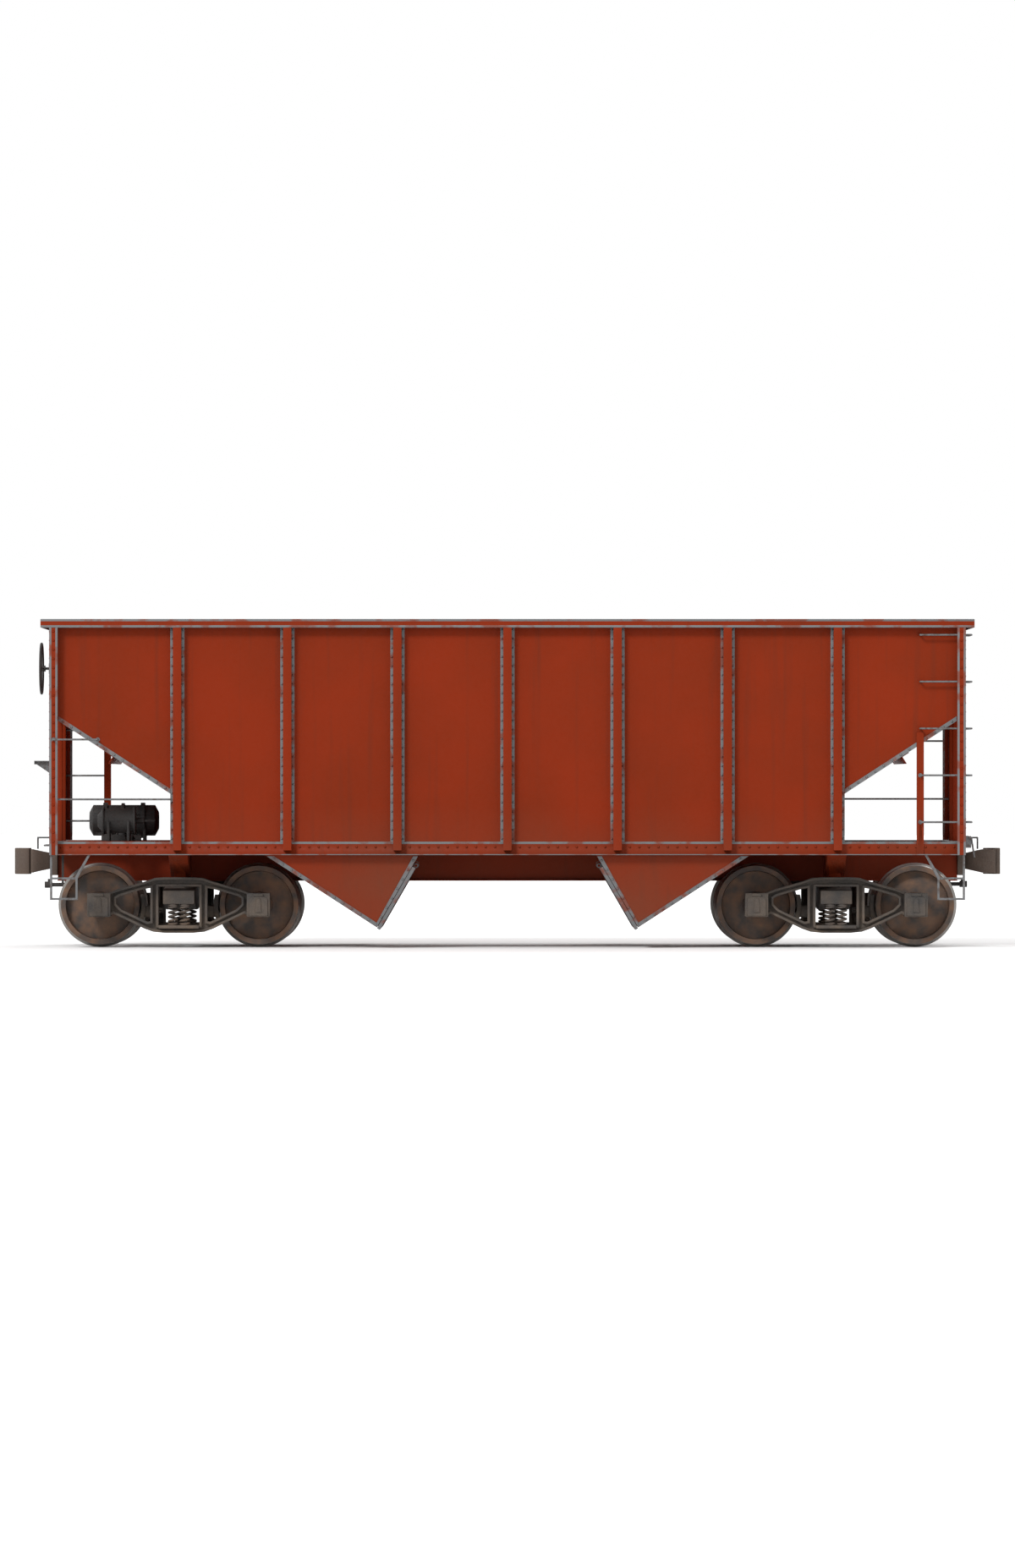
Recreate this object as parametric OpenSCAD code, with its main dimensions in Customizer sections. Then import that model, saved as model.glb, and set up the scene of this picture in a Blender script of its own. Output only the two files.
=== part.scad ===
// Open hopper wagon: a two-bay, outside-staked steel coal hopper on two four-wheel bogies.
// Millimetres. X runs along the wagon, Y across it, Z up. z = 0 is the floor under the wheel flanges.
// End A is at +X and end B, with the hand brake, at -X. The near side is at -Y.

/* [Body] */
// Length over the corner posts
body_l = 9588; // [8400:12:12000]
// Width inside the side sheets
inside_w = 2884; // [2400:4:3500]
// Height of the side, from the foot of the side sill to the top of the top chord
side_h = 2470; // [2000:10:3000]
// Number of side stakes between the corner posts
stake_count = 7; // [5:2:9]
// Corner post's outer face to the middle of the first stake, where the bogie's centre also is
end_bay = 1338; // [1320:2:1600]
// Thickness of the body's sheets
sheet_t = 6; // [5:1:10]

/* [Stakes, posts, chords and sills] */
// Width of a stake's crown
stake_w = 88; // [60:2:120]
// Depth of a stake, out from the side sheet
stake_d = 100; // [80:2:140]
// Width of each riveted flange of a stake
stake_flange = 30; // [20:1:50]
// Metal thickness of stakes and chords
rolled_t = 8; // [6:1:12]
// Height of the top chord
chord_h = 90; // [70:2:130]
// How far the end chord stands out past the corner posts
chord_overhang = 91; // [80:1:130]
// Height of the side sill and the end sills
sill_h = 140; // [110:2:200]
// Metal thickness of the sills and the corner posts
sill_t = 10; // [8:1:14]
// Width of the corner posts
post_w = 90; // [70:2:120]
// Stake's foot above the foot of the side sill
stake_foot = 50; // [30:2:80]

/* [Hoppers] */
// Depth of the hoppers below the side sill
hopper_d = 760; // [600:10:800]
// Hopper lip above the rail
lip_clearance = 190; // [150:5:260]
// Bogie's centre to the hopper lip, along the wagon
hopper_setback = 2086; // [2060:2:2400]
// Slope of the end sheets from the horizontal
slope_angle = 33; // [30:0.5:36]
// Slope of the ridge between the hoppers
ridge_angle = 39; // [32:1:45]
// Slope of the doors from the horizontal
door_angle = 60; // [52:1:66]
// Inward lean of the hoppers' outer sheets
chute_lean = 8; // [0:1:14]
// Half the width of the hood over the centre sill
hood_half = 256; // [246:2:300]
// Gap between a shut door and its hopper
door_gap = 5; // [5:1:8]
// Radius of the door hinge pins
hinge_pin_r = 12; // [10:1:16]

/* [Underframe] */
// Depth of the centre sill
centre_sill_h = 330; // [300:5:380]
// Half the width of the centre sill, over its flanges
centre_sill_half = 236; // [210:2:240]
// Height of the body centre plate above the rail
centre_plate_h = 654; // [630:1:680]
// Height of the coupler above the rail
coupler_h = 876; // [800:1:890]

/* [Running gear] */
// Tread radius of the wheels
wheel_r = 419; // [380:1:430]
// Height of the wheel flange
flange_h = 26; // [22:1:32]
// Distance between the backs of a pair of wheels
back_to_back = 1356; // [1340:1:1362]
// Distance between the two axles of a bogie
wheelbase = 1676; // [1660:2:1700]
// Distance between the journal centres of an axle
journal_span = 1956; // [1940:2:2000]
// Radius of the journals
journal_r = 69.5; // [60:0.5:72]

/* [Ladders and steps] */
// Distance from rung to rung
rung_pitch = 490; // [400:5:495]
// Lowest rung above the foot of the side sill
first_rung = 345; // [330:5:400]
// Radius of the rungs and grab irons
bar_r = 10; // [8:0.5:13]
// Drop of the sill steps below the side sill
step_drop = 470; // [380:5:500]

/* [Hidden] */
$fn = 48;

OXIDE = [0.27, 0.03, 0.005];
STEEL = [0.35, 0.35, 0.36];
CAST = [0.13, 0.12, 0.11];

// Levels
rail_z = flange_h;
lip_z = rail_z + lip_clearance;
sill_z = lip_z + hopper_d;
top_z = sill_z + side_h;
chord_z = top_z - chord_h;
plate_z = rail_z + centre_plate_h;
coupler_z = rail_z + coupler_h;
axle_z = rail_z + wheel_r;
stake_foot_z = sill_z + stake_foot;
sill_top_z = sill_z + sill_h;

// Across the wagon
wall_y = inside_w / 2;
skin_y = wall_y + sheet_t;
face_y = skin_y + stake_d;

// Along the wagon
end_x = body_l / 2;
end_skin_x = end_x - sill_t;
end_wall_x = end_skin_x - sheet_t;
bogie_x = end_x - end_bay;
stake_pitch = 2 * bogie_x / (stake_count - 1);
lip_x = bogie_x - hopper_setback;
chord_end_x = end_x + chord_overhang;

// The slope sheets: underside z at x, and x at z
slope_v = sheet_t / cos(slope_angle);
function slope_z(x) = lip_z + (x - lip_x) * tan(slope_angle);
function slope_x(z) = lip_x + (z - lip_z) / tan(slope_angle);
// What stands under a slope sheet stops just short of it, as a welded seat does
seat_gap = 0.1;
function seat_z(x) = slope_z(x) - seat_gap;

// The plane that the doors close
function door_x(z) = lip_x - (z - lip_z) / tan(door_angle);
header_z = sill_z - 96;

// The ridge between the hoppers
ridge_foot_x = door_x(sill_z);
ridge_peak_z = sill_z + ridge_foot_x * tan(ridge_angle);
ridge_v = sheet_t / cos(ridge_angle);
function ridge_x(z) = ridge_foot_x - (z - sill_z) / tan(ridge_angle);

// The centre sill and the hoods over it
centre_plate_t = 13;
centre_sill_z = plate_z + centre_plate_t;
centre_sill_top = centre_sill_z + centre_sill_h;
cover_t = 6;
eave_z = centre_sill_top + cover_t + 1;

module near() { mirror([0, 1, 0]) children(); }
module both_sides() { children(); near() children(); }
module both_ends() { children(); mirror([1, 0, 0]) children(); }
// The wagon is the same when turned end for end, apart from its brake gear
module half_turn() { children(); rotate([0, 0, 180]) children(); }

// A box between two corners
module block(low, high) { translate(low) cube(high - low); }

// A side view, points as [x, z], drawn out from y0 to y1
module side_profile(points, y0, y1) {
    translate([0, y1, 0]) rotate([90, 0, 0]) linear_extrude(y1 - y0) polygon(points);
}

// An end view, points as [y, z], drawn out from x0 to x1
module end_profile(points, x0, x1) {
    translate([x0, 0, 0]) rotate([90, 0, 90]) linear_extrude(x1 - x0) polygon(points);
}

// A straight round bar between two points
module bar(a, b, r) {
    d = b - a;
    translate(a) rotate([0, acos(d[2] / norm(d)), atan2(d[1], d[0])]) cylinder(r = r, h = norm(d));
}

// A round bar bent through a list of points
module bent_bar(points, r) {
    for (i = [0:len(points) - 2]) bar(points[i], points[i + 1], r);
    if (len(points) > 2) for (i = [1:len(points) - 2]) translate(points[i]) sphere(r = r);
}

// ---------------------------------------------------------------- sides

// Plates meet under the first and last stakes, with a narrow seam
seam = 2;

module side_sheets() {
    color(OXIDE) {
        block([-bogie_x + seam / 2, wall_y, sill_z], [bogie_x - seam / 2, skin_y, top_z - rolled_t]);
        both_ends() side_profile([
            [bogie_x + seam / 2, slope_z(bogie_x + seam / 2)],
            [end_skin_x, slope_z(end_skin_x)],
            [end_skin_x, top_z - rolled_t],
            [bogie_x + seam / 2, top_z - rolled_t]], wall_y, skin_y);
    }
}

// A pressed hat section, cut back where it crosses the side sill
module stake() {
    half = stake_w / 2;
    difference() {
        translate([0, 0, stake_foot_z]) linear_extrude(chord_z - stake_foot_z) polygon([
            [-half - stake_flange, skin_y], [-half - stake_flange, skin_y + sheet_t],
            [-half, skin_y + sheet_t], [-half, face_y], [half, face_y], [half, skin_y + sheet_t],
            [half + stake_flange, skin_y + sheet_t], [half + stake_flange, skin_y],
            [half - rolled_t, skin_y], [half - rolled_t, face_y - rolled_t],
            [-half + rolled_t, face_y - rolled_t], [-half + rolled_t, skin_y]]);
        block([-stake_w, wall_y, sill_z], [stake_w, skin_y + sill_t, sill_top_z]);
    }
}

module side_stakes() {
    color(OXIDE) for (i = [0:stake_count - 1]) translate([-bogie_x + i * stake_pitch, 0, 0]) stake();
}

// An angle with its foot turned outwards
module side_sills() {
    color(OXIDE) both_sides() end_profile([
        [skin_y, sill_z], [face_y - sill_t, sill_z], [face_y - sill_t, sill_z + sill_t],
        [skin_y + sill_t, sill_z + sill_t], [skin_y + sill_t, sill_top_z], [skin_y, sill_top_z]],
        -end_skin_x, end_skin_x);
}

// A coping channel, open below, with its ends closed
chord_lap = 4;
module chord_section(inner, leg, outer) {
    polygon([
        [inner, top_z - rolled_t], [leg, top_z - rolled_t], [leg, chord_z],
        [leg + rolled_t, chord_z], [leg + rolled_t, top_z - rolled_t],
        [outer - rolled_t, top_z - rolled_t], [outer - rolled_t, chord_z], [outer, chord_z],
        [outer, top_z], [inner, top_z]]);
}

module top_chords() {
    color(OXIDE) both_sides() {
        translate([-chord_end_x, 0, 0]) rotate([90, 0, 90]) linear_extrude(2 * chord_end_x)
            chord_section(wall_y - chord_lap, skin_y, face_y + chord_lap);
        both_ends() block([chord_end_x - rolled_t, wall_y - chord_lap, chord_z],
            [chord_end_x, face_y + chord_lap, top_z]);
    }
}

module end_chords() {
    color(OXIDE) both_ends() translate([0, wall_y - chord_lap, 0]) rotate([90, 0, 0])
        linear_extrude(2 * (wall_y - chord_lap))
        chord_section(end_wall_x - chord_lap, end_skin_x, chord_end_x);
}

// Angles whose corner is the wagon's own corner
post_return = 160;
module corner_posts() {
    color(OXIDE) both_ends() both_sides() {
        block([end_x - post_w, face_y - sill_t, sill_z], [end_x, face_y, chord_z]);
        block([end_skin_x, face_y - post_return, sill_z], [end_x, face_y, chord_z]);
    }
}

// ---------------------------------------------------------------- ends and floor

module end_sheets() {
    color(OXIDE) both_ends() block([end_wall_x, -wall_y, slope_z(end_wall_x)],
        [end_skin_x, wall_y, top_z - rolled_t]);
}

// Everything outside the inner face of the hoppers' outer sheets, below the side sill
module beyond_chutes(thick = 600) {
    both_sides() translate([-end_x, wall_y, sill_z]) rotate([-chute_lean, 0, 0])
        translate([0, 0, -2 * hopper_d]) cube([2 * end_x, thick, 2 * hopper_d]);
}

// The way through floor sheets for the centre sill and the hoppers' inner sheets
module sill_way() {
    block([-end_x, -hood_half, 0], [end_x, hood_half, eave_z]);
}

module slope_sheets() {
    color(OXIDE) both_ends() difference() {
        side_profile([[lip_x, lip_z], [end_wall_x, slope_z(end_wall_x)],
            [end_wall_x, slope_z(end_wall_x) + slope_v], [lip_x, lip_z + slope_v]], -wall_y, wall_y);
        beyond_chutes();
        sill_way();
    }
}

// Angles across the underside of the slope sheets
slope_beam_d = 90;
slope_beam_t = 8;
module slope_beams() {
    beam_x = bogie_x + end_bay / 2;
    color(OXIDE) both_ends() translate([beam_x, 0, slope_z(beam_x) - 0.02]) rotate([0, -slope_angle, 0]) {
        block([0, -wall_y, -slope_beam_t], [slope_beam_d, wall_y, 0]);
        block([0, -wall_y, -slope_beam_d], [slope_beam_t, wall_y, 0]);
    }
}

diaphragm_t = 8;
module centre_ridge() {
    color(OXIDE) difference() {
        union() {
            side_profile([[ridge_foot_x, sill_z], [0, ridge_peak_z], [-ridge_foot_x, sill_z],
                [-ridge_foot_x, sill_z + ridge_v], [0, ridge_peak_z + ridge_v],
                [ridge_foot_x, sill_z + ridge_v]], -wall_y, wall_y);
            block([-diaphragm_t / 2, -wall_y, sill_z], [diaphragm_t / 2, wall_y, ridge_peak_z + 1]);
        }
        sill_way();
    }
}

// A small roof over the centre sill in each hopper, from the ridge to the slope sheet
module sill_hoods() {
    lip = sheet_t * sqrt(2);
    color(OXIDE) both_ends() difference() {
        end_profile([[hood_half, eave_z], [0, eave_z + hood_half], [-hood_half, eave_z],
            [lip - hood_half, eave_z], [0, eave_z + hood_half - lip], [hood_half - lip, eave_z]],
            0, end_x);
        side_profile([[0, 0], [0, ridge_peak_z + ridge_v], [ridge_foot_x, sill_z + ridge_v],
            [ridge_foot_x, 0]], -wall_y, wall_y);
        side_profile([[lip_x, 0], [lip_x, lip_z + slope_v], [2 * end_x, slope_z(2 * end_x) + slope_v],
            [2 * end_x, 0]], -wall_y, wall_y);
    }
}

// ---------------------------------------------------------------- hoppers and doors

// Along the door plane: u runs up from the lip, n stands out towards the wagon's middle
module door_frame() {
    translate([lip_x, 0, lip_z]) rotate([0, 180 + door_angle, 0]) children();
}
door_l = (header_z - lip_z) / sin(door_angle) - 27;
pin_u = (header_z - lip_z) / sin(door_angle) - 2;
pin_n = 32;
lug_r = 24;
bracket_r = 22;
bracket_w = 24;
lug_w = 20;
hinge_side_gap = 5;
function hinge_ys() = [hood_half + 0.22 * (wall_y - hood_half), hood_half + 0.72 * (wall_y - hood_half)];

// One hopper half: outer sheet, inner sheet, header over the door, and the hinge brackets and pins
module hopper_half() {
    edge = sheet_t / sin(door_angle);
    intersection() {
        translate([-end_x, wall_y, sill_z]) rotate([-chute_lean, 0, 0])
            translate([0, 0, -2 * hopper_d]) cube([2 * end_x, sheet_t, 2 * hopper_d + 100]);
        side_profile([[slope_x(sill_z), sill_z], [lip_x, lip_z], [door_x(sill_z), sill_z]],
            0, face_y);
    }
    side_profile([[slope_x(eave_z), eave_z], [lip_x, lip_z], [door_x(sill_z), sill_z],
        [ridge_x(eave_z), eave_z]], hood_half - sheet_t, hood_half);
    difference() {
        side_profile([[door_x(header_z), header_z], [door_x(sill_z), sill_z],
            [door_x(sill_z) + edge, sill_z], [door_x(header_z) + edge, header_z]],
            hood_half - 1, wall_y);
        beyond_chutes();
    }
    door_frame() for (y = hinge_ys()) {
        translate([pin_u, y + bracket_w / 2, pin_n]) rotate([90, 0, 0]) {
            cylinder(r = bracket_r, h = bracket_w);
            translate([0, -pin_n, 0]) cube([36, pin_n + 10, bracket_w]);
        }
        pin_l = bracket_w + 2 * (lug_w + hinge_side_gap + 4);
        translate([pin_u, y + pin_l / 2, pin_n]) rotate([90, 0, 0]) cylinder(r = hinge_pin_r, h = pin_l);
    }
}

module hopper_sheets() { color(OXIDE) both_sides() hopper_half(); }

// A plate with turned edges, two ribs and its hinge lugs
door_t = 6;
door_rim = 35;
door_lip = 8;
door_rib_w = 8;
module door() {
    inner_y = hood_half - sheet_t;
    color(OXIDE) difference() {
        union() {
            difference() {
                door_frame() {
                    block([-door_lip, inner_y, door_gap], [door_l, face_y, door_gap + door_t]);
                    block([-door_lip, inner_y, door_gap], [0, face_y, door_gap + door_rim]);
                    block([door_l - door_lip, inner_y, door_gap], [door_l, face_y, door_gap + door_rim - 7]);
                    block([-door_lip, inner_y, door_gap], [door_l, inner_y + door_rib_w, door_gap + door_rim]);
                    for (y = hinge_ys()) block([-door_lip, y - door_rib_w / 2, door_gap],
                        [door_l, y + door_rib_w / 2, door_gap + door_rim - 7]);
                    block([door_l * 0.45, inner_y, door_gap],
                        [door_l * 0.45 + door_rib_w, face_y, door_gap + door_rim - 7]);
                }
                translate([0, sheet_t / cos(chute_lean), 0]) beyond_chutes();
            }
            intersection() {
                door_frame() block([-door_lip, inner_y, door_gap], [door_l, face_y, door_gap + door_rim]);
                translate([-end_x, wall_y + (sheet_t - door_rib_w) / cos(chute_lean), sill_z])
                    rotate([-chute_lean, 0, 0])
                    translate([0, 0, -2 * hopper_d]) cube([2 * end_x, door_rib_w, 2 * hopper_d]);
            }
            door_frame() for (y = hinge_ys()) for (side = [-1, 1]) {
                mid = y + side * (bracket_w / 2 + hinge_side_gap + lug_w / 2);
                translate([pin_u, mid + lug_w / 2, pin_n]) rotate([90, 0, 0]) cylinder(r = lug_r, h = lug_w);
                block([pin_u - 70, mid - lug_w / 2, door_gap], [pin_u, mid + lug_w / 2, pin_n + 8]);
            }
        }
        door_frame() for (y = hinge_ys()) translate([pin_u, y + 100, pin_n]) rotate([90, 0, 0])
            cylinder(r = hinge_pin_r + 0.08, h = 200);
    }
}

// ---------------------------------------------------------------- underframe

channel_web = 10;
channel_flange_t = 12;
channel_back = 166;
// Two channels back to back with a cover plate, from end sill to end sill
module centre_sill() {
    color(OXIDE) {
        both_sides() {
            block([-end_wall_x + 4, channel_back - channel_web, centre_sill_z],
                [end_wall_x - 4, channel_back, centre_sill_top]);
            for (z = [centre_sill_z, centre_sill_top - channel_flange_t])
                block([-end_wall_x + 4, channel_back - channel_web, z],
                    [end_wall_x - 4, centre_sill_half, z + channel_flange_t]);
        }
        block([-end_wall_x + 4, -centre_sill_half, centre_sill_top],
            [end_wall_x - 4, centre_sill_half, centre_sill_top + cover_t]);
    }
}

end_sill_flange = 80;
shank_half = 66;
shank_h = 140;
// A channel across the end, cut clear of the centre sill and the coupler where it hangs that low
module end_sills() {
    web_x = end_skin_x - sill_t;
    color(OXIDE) both_ends() difference() {
        union() {
            block([web_x, -skin_y, sill_z], [end_skin_x, skin_y, sill_top_z]);
            block([web_x - end_sill_flange, -skin_y, sill_top_z - sill_t], [web_x, skin_y, sill_top_z]);
            both_sides() block([web_x - end_sill_flange, centre_sill_half, sill_z],
                [web_x, skin_y, sill_z + sill_t]);
        }
        block([web_x - end_sill_flange - 1, -centre_sill_half, rail_z],
            [web_x, centre_sill_half, centre_sill_top + cover_t]);
        block([web_x - 1, -shank_half - 3, rail_z], [end_x, shank_half + 3, coupler_z + shank_h / 2 + 3]);
    }
}

bolster_half = 100;
bolster_t = 12;
bolster_low_z = centre_sill_z + 47;
side_bearing_y = 635;
side_bearing_gap = 8;
bearing_pad_z = plate_z - 20;
// Two webs and covers on each side, a plate up to the slope sheet, side bearings and a centre plate
module body_bolster() {
    root = centre_sill_half;
    knee = 560;
    outline = [[root, bolster_low_z], [knee, bolster_low_z], [wall_y - 150, sill_z], [wall_y, sill_z],
        [wall_y, sill_top_z], [root, sill_top_z]];
    both_sides() {
        for (x = [-bolster_half, bolster_half - bolster_t])
            end_profile(outline, x, x + bolster_t);
        block([-bolster_half, root, sill_top_z - bolster_t], [bolster_half, wall_y, sill_top_z]);
        end_profile([[root, bolster_low_z], [knee, bolster_low_z], [wall_y - 150, sill_z],
            [wall_y - 150, sill_z + bolster_t], [knee, bolster_low_z + bolster_t],
            [root, bolster_low_z + bolster_t]], -bolster_half, bolster_half);
        block([-60, side_bearing_y - 45, bearing_pad_z + side_bearing_gap],
            [60, side_bearing_y + 45, bolster_low_z + 60]);
    }
}

web_plate_t = 8;
module slope_web() {
    difference() {
        side_profile([[-web_plate_t / 2, sill_top_z], [web_plate_t / 2, sill_top_z],
            [web_plate_t / 2, seat_z(bogie_x + web_plate_t / 2)],
            [-web_plate_t / 2, seat_z(bogie_x - web_plate_t / 2)]], -wall_y, wall_y);
        block([-web_plate_t, -centre_sill_half, 0], [web_plate_t, centre_sill_half, saddle_z]);
    }
}

body_plate_r = 150;
// The centre sill's cover, on which the bolster's filler stands
saddle_z = centre_sill_top + cover_t;
module body_bolsters() {
    color(OXIDE) both_ends() translate([bogie_x, 0, 0]) {
        body_bolster();
        slope_web();
        block([-bolster_half, -centre_sill_half, saddle_z],
            [bolster_half, centre_sill_half, max(sill_top_z, saddle_z + bolster_t)]);
        block([-body_plate_r, channel_web - channel_back, centre_sill_z],
            [body_plate_r, channel_back - channel_web, centre_sill_z + 170]);
        translate([0, 0, plate_z]) cylinder(r = body_plate_r, h = centre_plate_t);
    }
}

end_post_y = 350;
end_post_w = 80;
end_post_d = 60;
// Channels from the end sill up to the foot of the end sheet
module end_posts() {
    x0 = end_wall_x - 4 - end_post_d;
    color(OXIDE) both_ends() both_sides() difference() {
        side_profile([[x0, sill_top_z], [end_wall_x - 4, sill_top_z],
            [end_wall_x - 4, seat_z(end_wall_x - 4)], [x0, seat_z(x0)]],
            end_post_y - end_post_w / 2, end_post_y + end_post_w / 2);
        block([x0 - 1, end_post_y - end_post_w / 2 + rolled_t, 0],
            [end_wall_x - 4 - rolled_t, end_post_y + end_post_w / 2 - rolled_t, top_z]);
    }
}

tie_drop = 560;
tie_w = 76;
gusset = 240;
// Struts across the load space, with a gusset at each side
module cross_ties() {
    tie_z = top_z - tie_drop;
    middle = (stake_count - 1) / 2;
    color(OXIDE) for (i = [middle - 2, middle, middle + 2])
        translate([-bogie_x + i * stake_pitch, 0, 0]) {
            block([-tie_w / 2, -wall_y, tie_z - rolled_t], [tie_w / 2, wall_y, tie_z]);
            block([-rolled_t / 2, -wall_y, tie_z - tie_w], [rolled_t / 2, wall_y, tie_z]);
            both_sides() end_profile([[wall_y, tie_z - gusset], [wall_y, tie_z + gusset],
                [wall_y - gusset, tie_z]], -rolled_t / 2, rolled_t / 2);
            both_sides() end_profile([[wall_y, tie_z - gusset], [wall_y - gusset, tie_z],
                [wall_y, tie_z]], -rolled_t / 2, rolled_t / 2);
        }
}

// ---------------------------------------------------------------- ladders, irons and steps

rungs = 5;
rung_y = skin_y + 72;
stile_w = 76;
stile_x = end_x - 474;
stile_y = skin_y + sill_t;
foot_r = 22;
foot_t = 6;
function rung_z(i) = sill_z + first_rung + i * rung_pitch;

// The near right-hand ladder: a short stile, then rungs with a foot on it or on the side sheet
module side_ladder() {
    stile_top = slope_z(stile_x) + 130;
    block([stile_x - stile_w / 2, stile_y, sill_z + sill_t],
        [stile_x + stile_w / 2, stile_y + sill_t, stile_top]);
    side_profile([[stile_x - stile_w / 2, slope_z(stile_x + stile_w / 2)],
        [stile_x + stile_w / 2, slope_z(stile_x + stile_w / 2)],
        [stile_x + stile_w / 2, stile_top], [stile_x - stile_w / 2, stile_top]], skin_y, stile_y + 1);
    for (i = [0:rungs - 1]) {
        z = rung_z(i);
        foot_y = z < stile_top ? stile_y + sill_t : skin_y;
        foot_x = stile_x;
        bent_bar([[foot_x, foot_y, z], [foot_x, rung_y, z], [end_skin_x, rung_y, z]], bar_r);
        translate([foot_x, foot_y, z]) rotate([-90, 0, 0]) cylinder(r = foot_r, h = foot_t);
    }
}
module side_ladders() { color(STEEL) half_turn() near() side_ladder(); }

end_stile_y = 1040;
end_stile_w = 60;
end_rung_x = end_x + 62;
// The left-hand ladder of the end, beside the side ladder
module end_ladder() {
    block([end_skin_x, end_stile_y - end_stile_w / 2, sill_z], [end_x, end_stile_y + end_stile_w / 2, chord_z]);
    for (i = [0:rungs - 1]) {
        z = rung_z(i);
        bent_bar([[end_x, end_stile_y, z], [end_rung_x, end_stile_y, z],
            [end_rung_x, face_y - 60, z], [end_x, face_y - 60, z]], bar_r);
    }
}
module end_ladders() { color(STEEL) half_turn() near() end_ladder(); }

grab_stand = 55;
side_grab_z = sill_z + 1209;
long_bar_z = sill_z + 583;
module grab_irons() {
    grab_y = face_y + grab_stand;
    post_grab_x = end_x - post_w / 2;
    sheet_grab_x = end_x - 505;
    end_grab_y = face_y - post_return - 88;
    end_grab_z = sill_top_z - 40;
    color(STEEL) half_turn() {
        // Left-hand end of the near side
        rotate([0, 0, 180]) {
            bent_bar([[post_grab_x, face_y, side_grab_z], [post_grab_x, grab_y, side_grab_z],
                [sheet_grab_x, grab_y, side_grab_z], [sheet_grab_x, skin_y, side_grab_z]], bar_r);
            for (foot = [[sheet_grab_x, skin_y], [post_grab_x, face_y]])
                translate([foot[0], foot[1], side_grab_z]) rotate([-90, 0, 0])
                    cylinder(r = foot_r, h = foot_t);
            bent_bar([[bogie_x + stake_w / 2, rung_y - 20, long_bar_z], [end_skin_x, rung_y - 20, long_bar_z]],
                bar_r);
        }
        // Right-hand side of the end, on the end sill
        bent_bar([[end_skin_x, end_grab_y - 400, end_grab_z], [end_rung_x, end_grab_y - 400, end_grab_z],
            [end_rung_x, end_grab_y, end_grab_z], [end_skin_x, end_grab_y, end_grab_z]], bar_r);
    }
}

step_t = 22;
step_w = 50;
// A strap bent down from the side sill, with two treads; its inner leg leans out at the top
module sill_step() {
    outer = end_x - step_t / 2 - 8;
    low = sill_z - step_drop;
    tread = sill_z - step_drop * 0.52;
    inner = outer - 278;
    top_in = outer - 409;
    rotate([90, 0, 0]) linear_extrude(step_w) difference() {
        polygon([[outer + step_t / 2, sill_z], [outer + step_t / 2, low], [inner, low], [inner, tread],
            [top_in, sill_z]]);
        polygon([[outer - step_t / 2, sill_z + 1], [outer - step_t / 2, tread + step_t / 2],
            [inner + step_t + 8, tread + step_t / 2], [top_in + step_t * 1.15, sill_z],
            [top_in + step_t * 1.15, sill_z + 1]]);
        polygon([[outer - step_t / 2, tread - step_t / 2], [outer - step_t / 2, low + step_t],
            [inner + step_t, low + step_t], [inner + step_t, tread - step_t / 2]]);
    }
}
module sill_steps() {
    color(STEEL) both_ends() both_sides() translate([0, skin_y + sill_t + step_w + 14, 0]) sill_step();
}

// ---------------------------------------------------------------- couplers

striker_x = end_skin_x + 50;
head_h = 250;
head_x = striker_x + 42;
pull_x = striker_x + 370;
module striker() {
    difference() {
        union() {
            block([end_skin_x, -230, coupler_z - 150], [striker_x, 230, coupler_z + 150]);
            block([end_skin_x - sill_t, -230, coupler_z - 150], [end_skin_x, 230, sill_z]);
            block([striker_x, -130, coupler_z - 120], [striker_x + 14, 130, coupler_z + 120]);
        }
        block([0, -shank_half - 20, coupler_z - shank_h / 2 - 12],
            [chord_end_x, shank_half + 20, coupler_z + shank_h / 2 + 12]);
    }
}
module strikers() { color(CAST) both_ends() striker(); }

// Plan of the head: guard arm, throat and the ears that hold the knuckle
module head_plan() {
    polygon([[-24, -84], [10, -118], [70, -150], [150, -178], [262, -205], [300, -196], [306, -178],
        [262, -150], [205, -112], [182, -80], [176, -36], [184, 0], [182, 60], [196, 118], [176, 158],
        [120, 152], [60, 118], [10, 100], [-24, 84]]);
}
module coupler() {
    translate([head_x, 0, coupler_z - head_h / 2]) linear_extrude(head_h) head_plan();
    block([end_skin_x - 420, -shank_half, coupler_z - shank_h / 2],
        [head_x, shank_half, coupler_z + shank_h / 2]);
    // Draft gear and yoke, between the webs of the centre sill
    block([end_skin_x - 284, channel_web - channel_back, coupler_z - shank_h / 2],
        [end_skin_x - 84, channel_back - channel_web, coupler_z + shank_h / 2]);
}
module couplers() { color(CAST) half_turn() coupler(); }

knuckle_h = 279;
module knuckle_plan() {
    polygon([[184.5, 8], [200, 24], [232, 28], [262, 10], [276, -20], [296, -46], [326, -54], [352, -36],
        [364, 0], [360, 44], [336, 88], [296, 126], [246, 146], [200, 146], [196.5, 118], [182.5, 60]]);
}
module knuckles() {
    color(STEEL) half_turn() translate([head_x, 0, coupler_z - knuckle_h / 2]) difference() {
        linear_extrude(knuckle_h) knuckle_plan();
        translate([0, 0, knuckle_h / 2 - 26]) cube([140, 140, 52]);
    }
}

lever_x = end_x + 70;
lever_z = max(sill_top_z + 34, coupler_z + head_h / 2 + 40);
lever_y = 1320;
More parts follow.
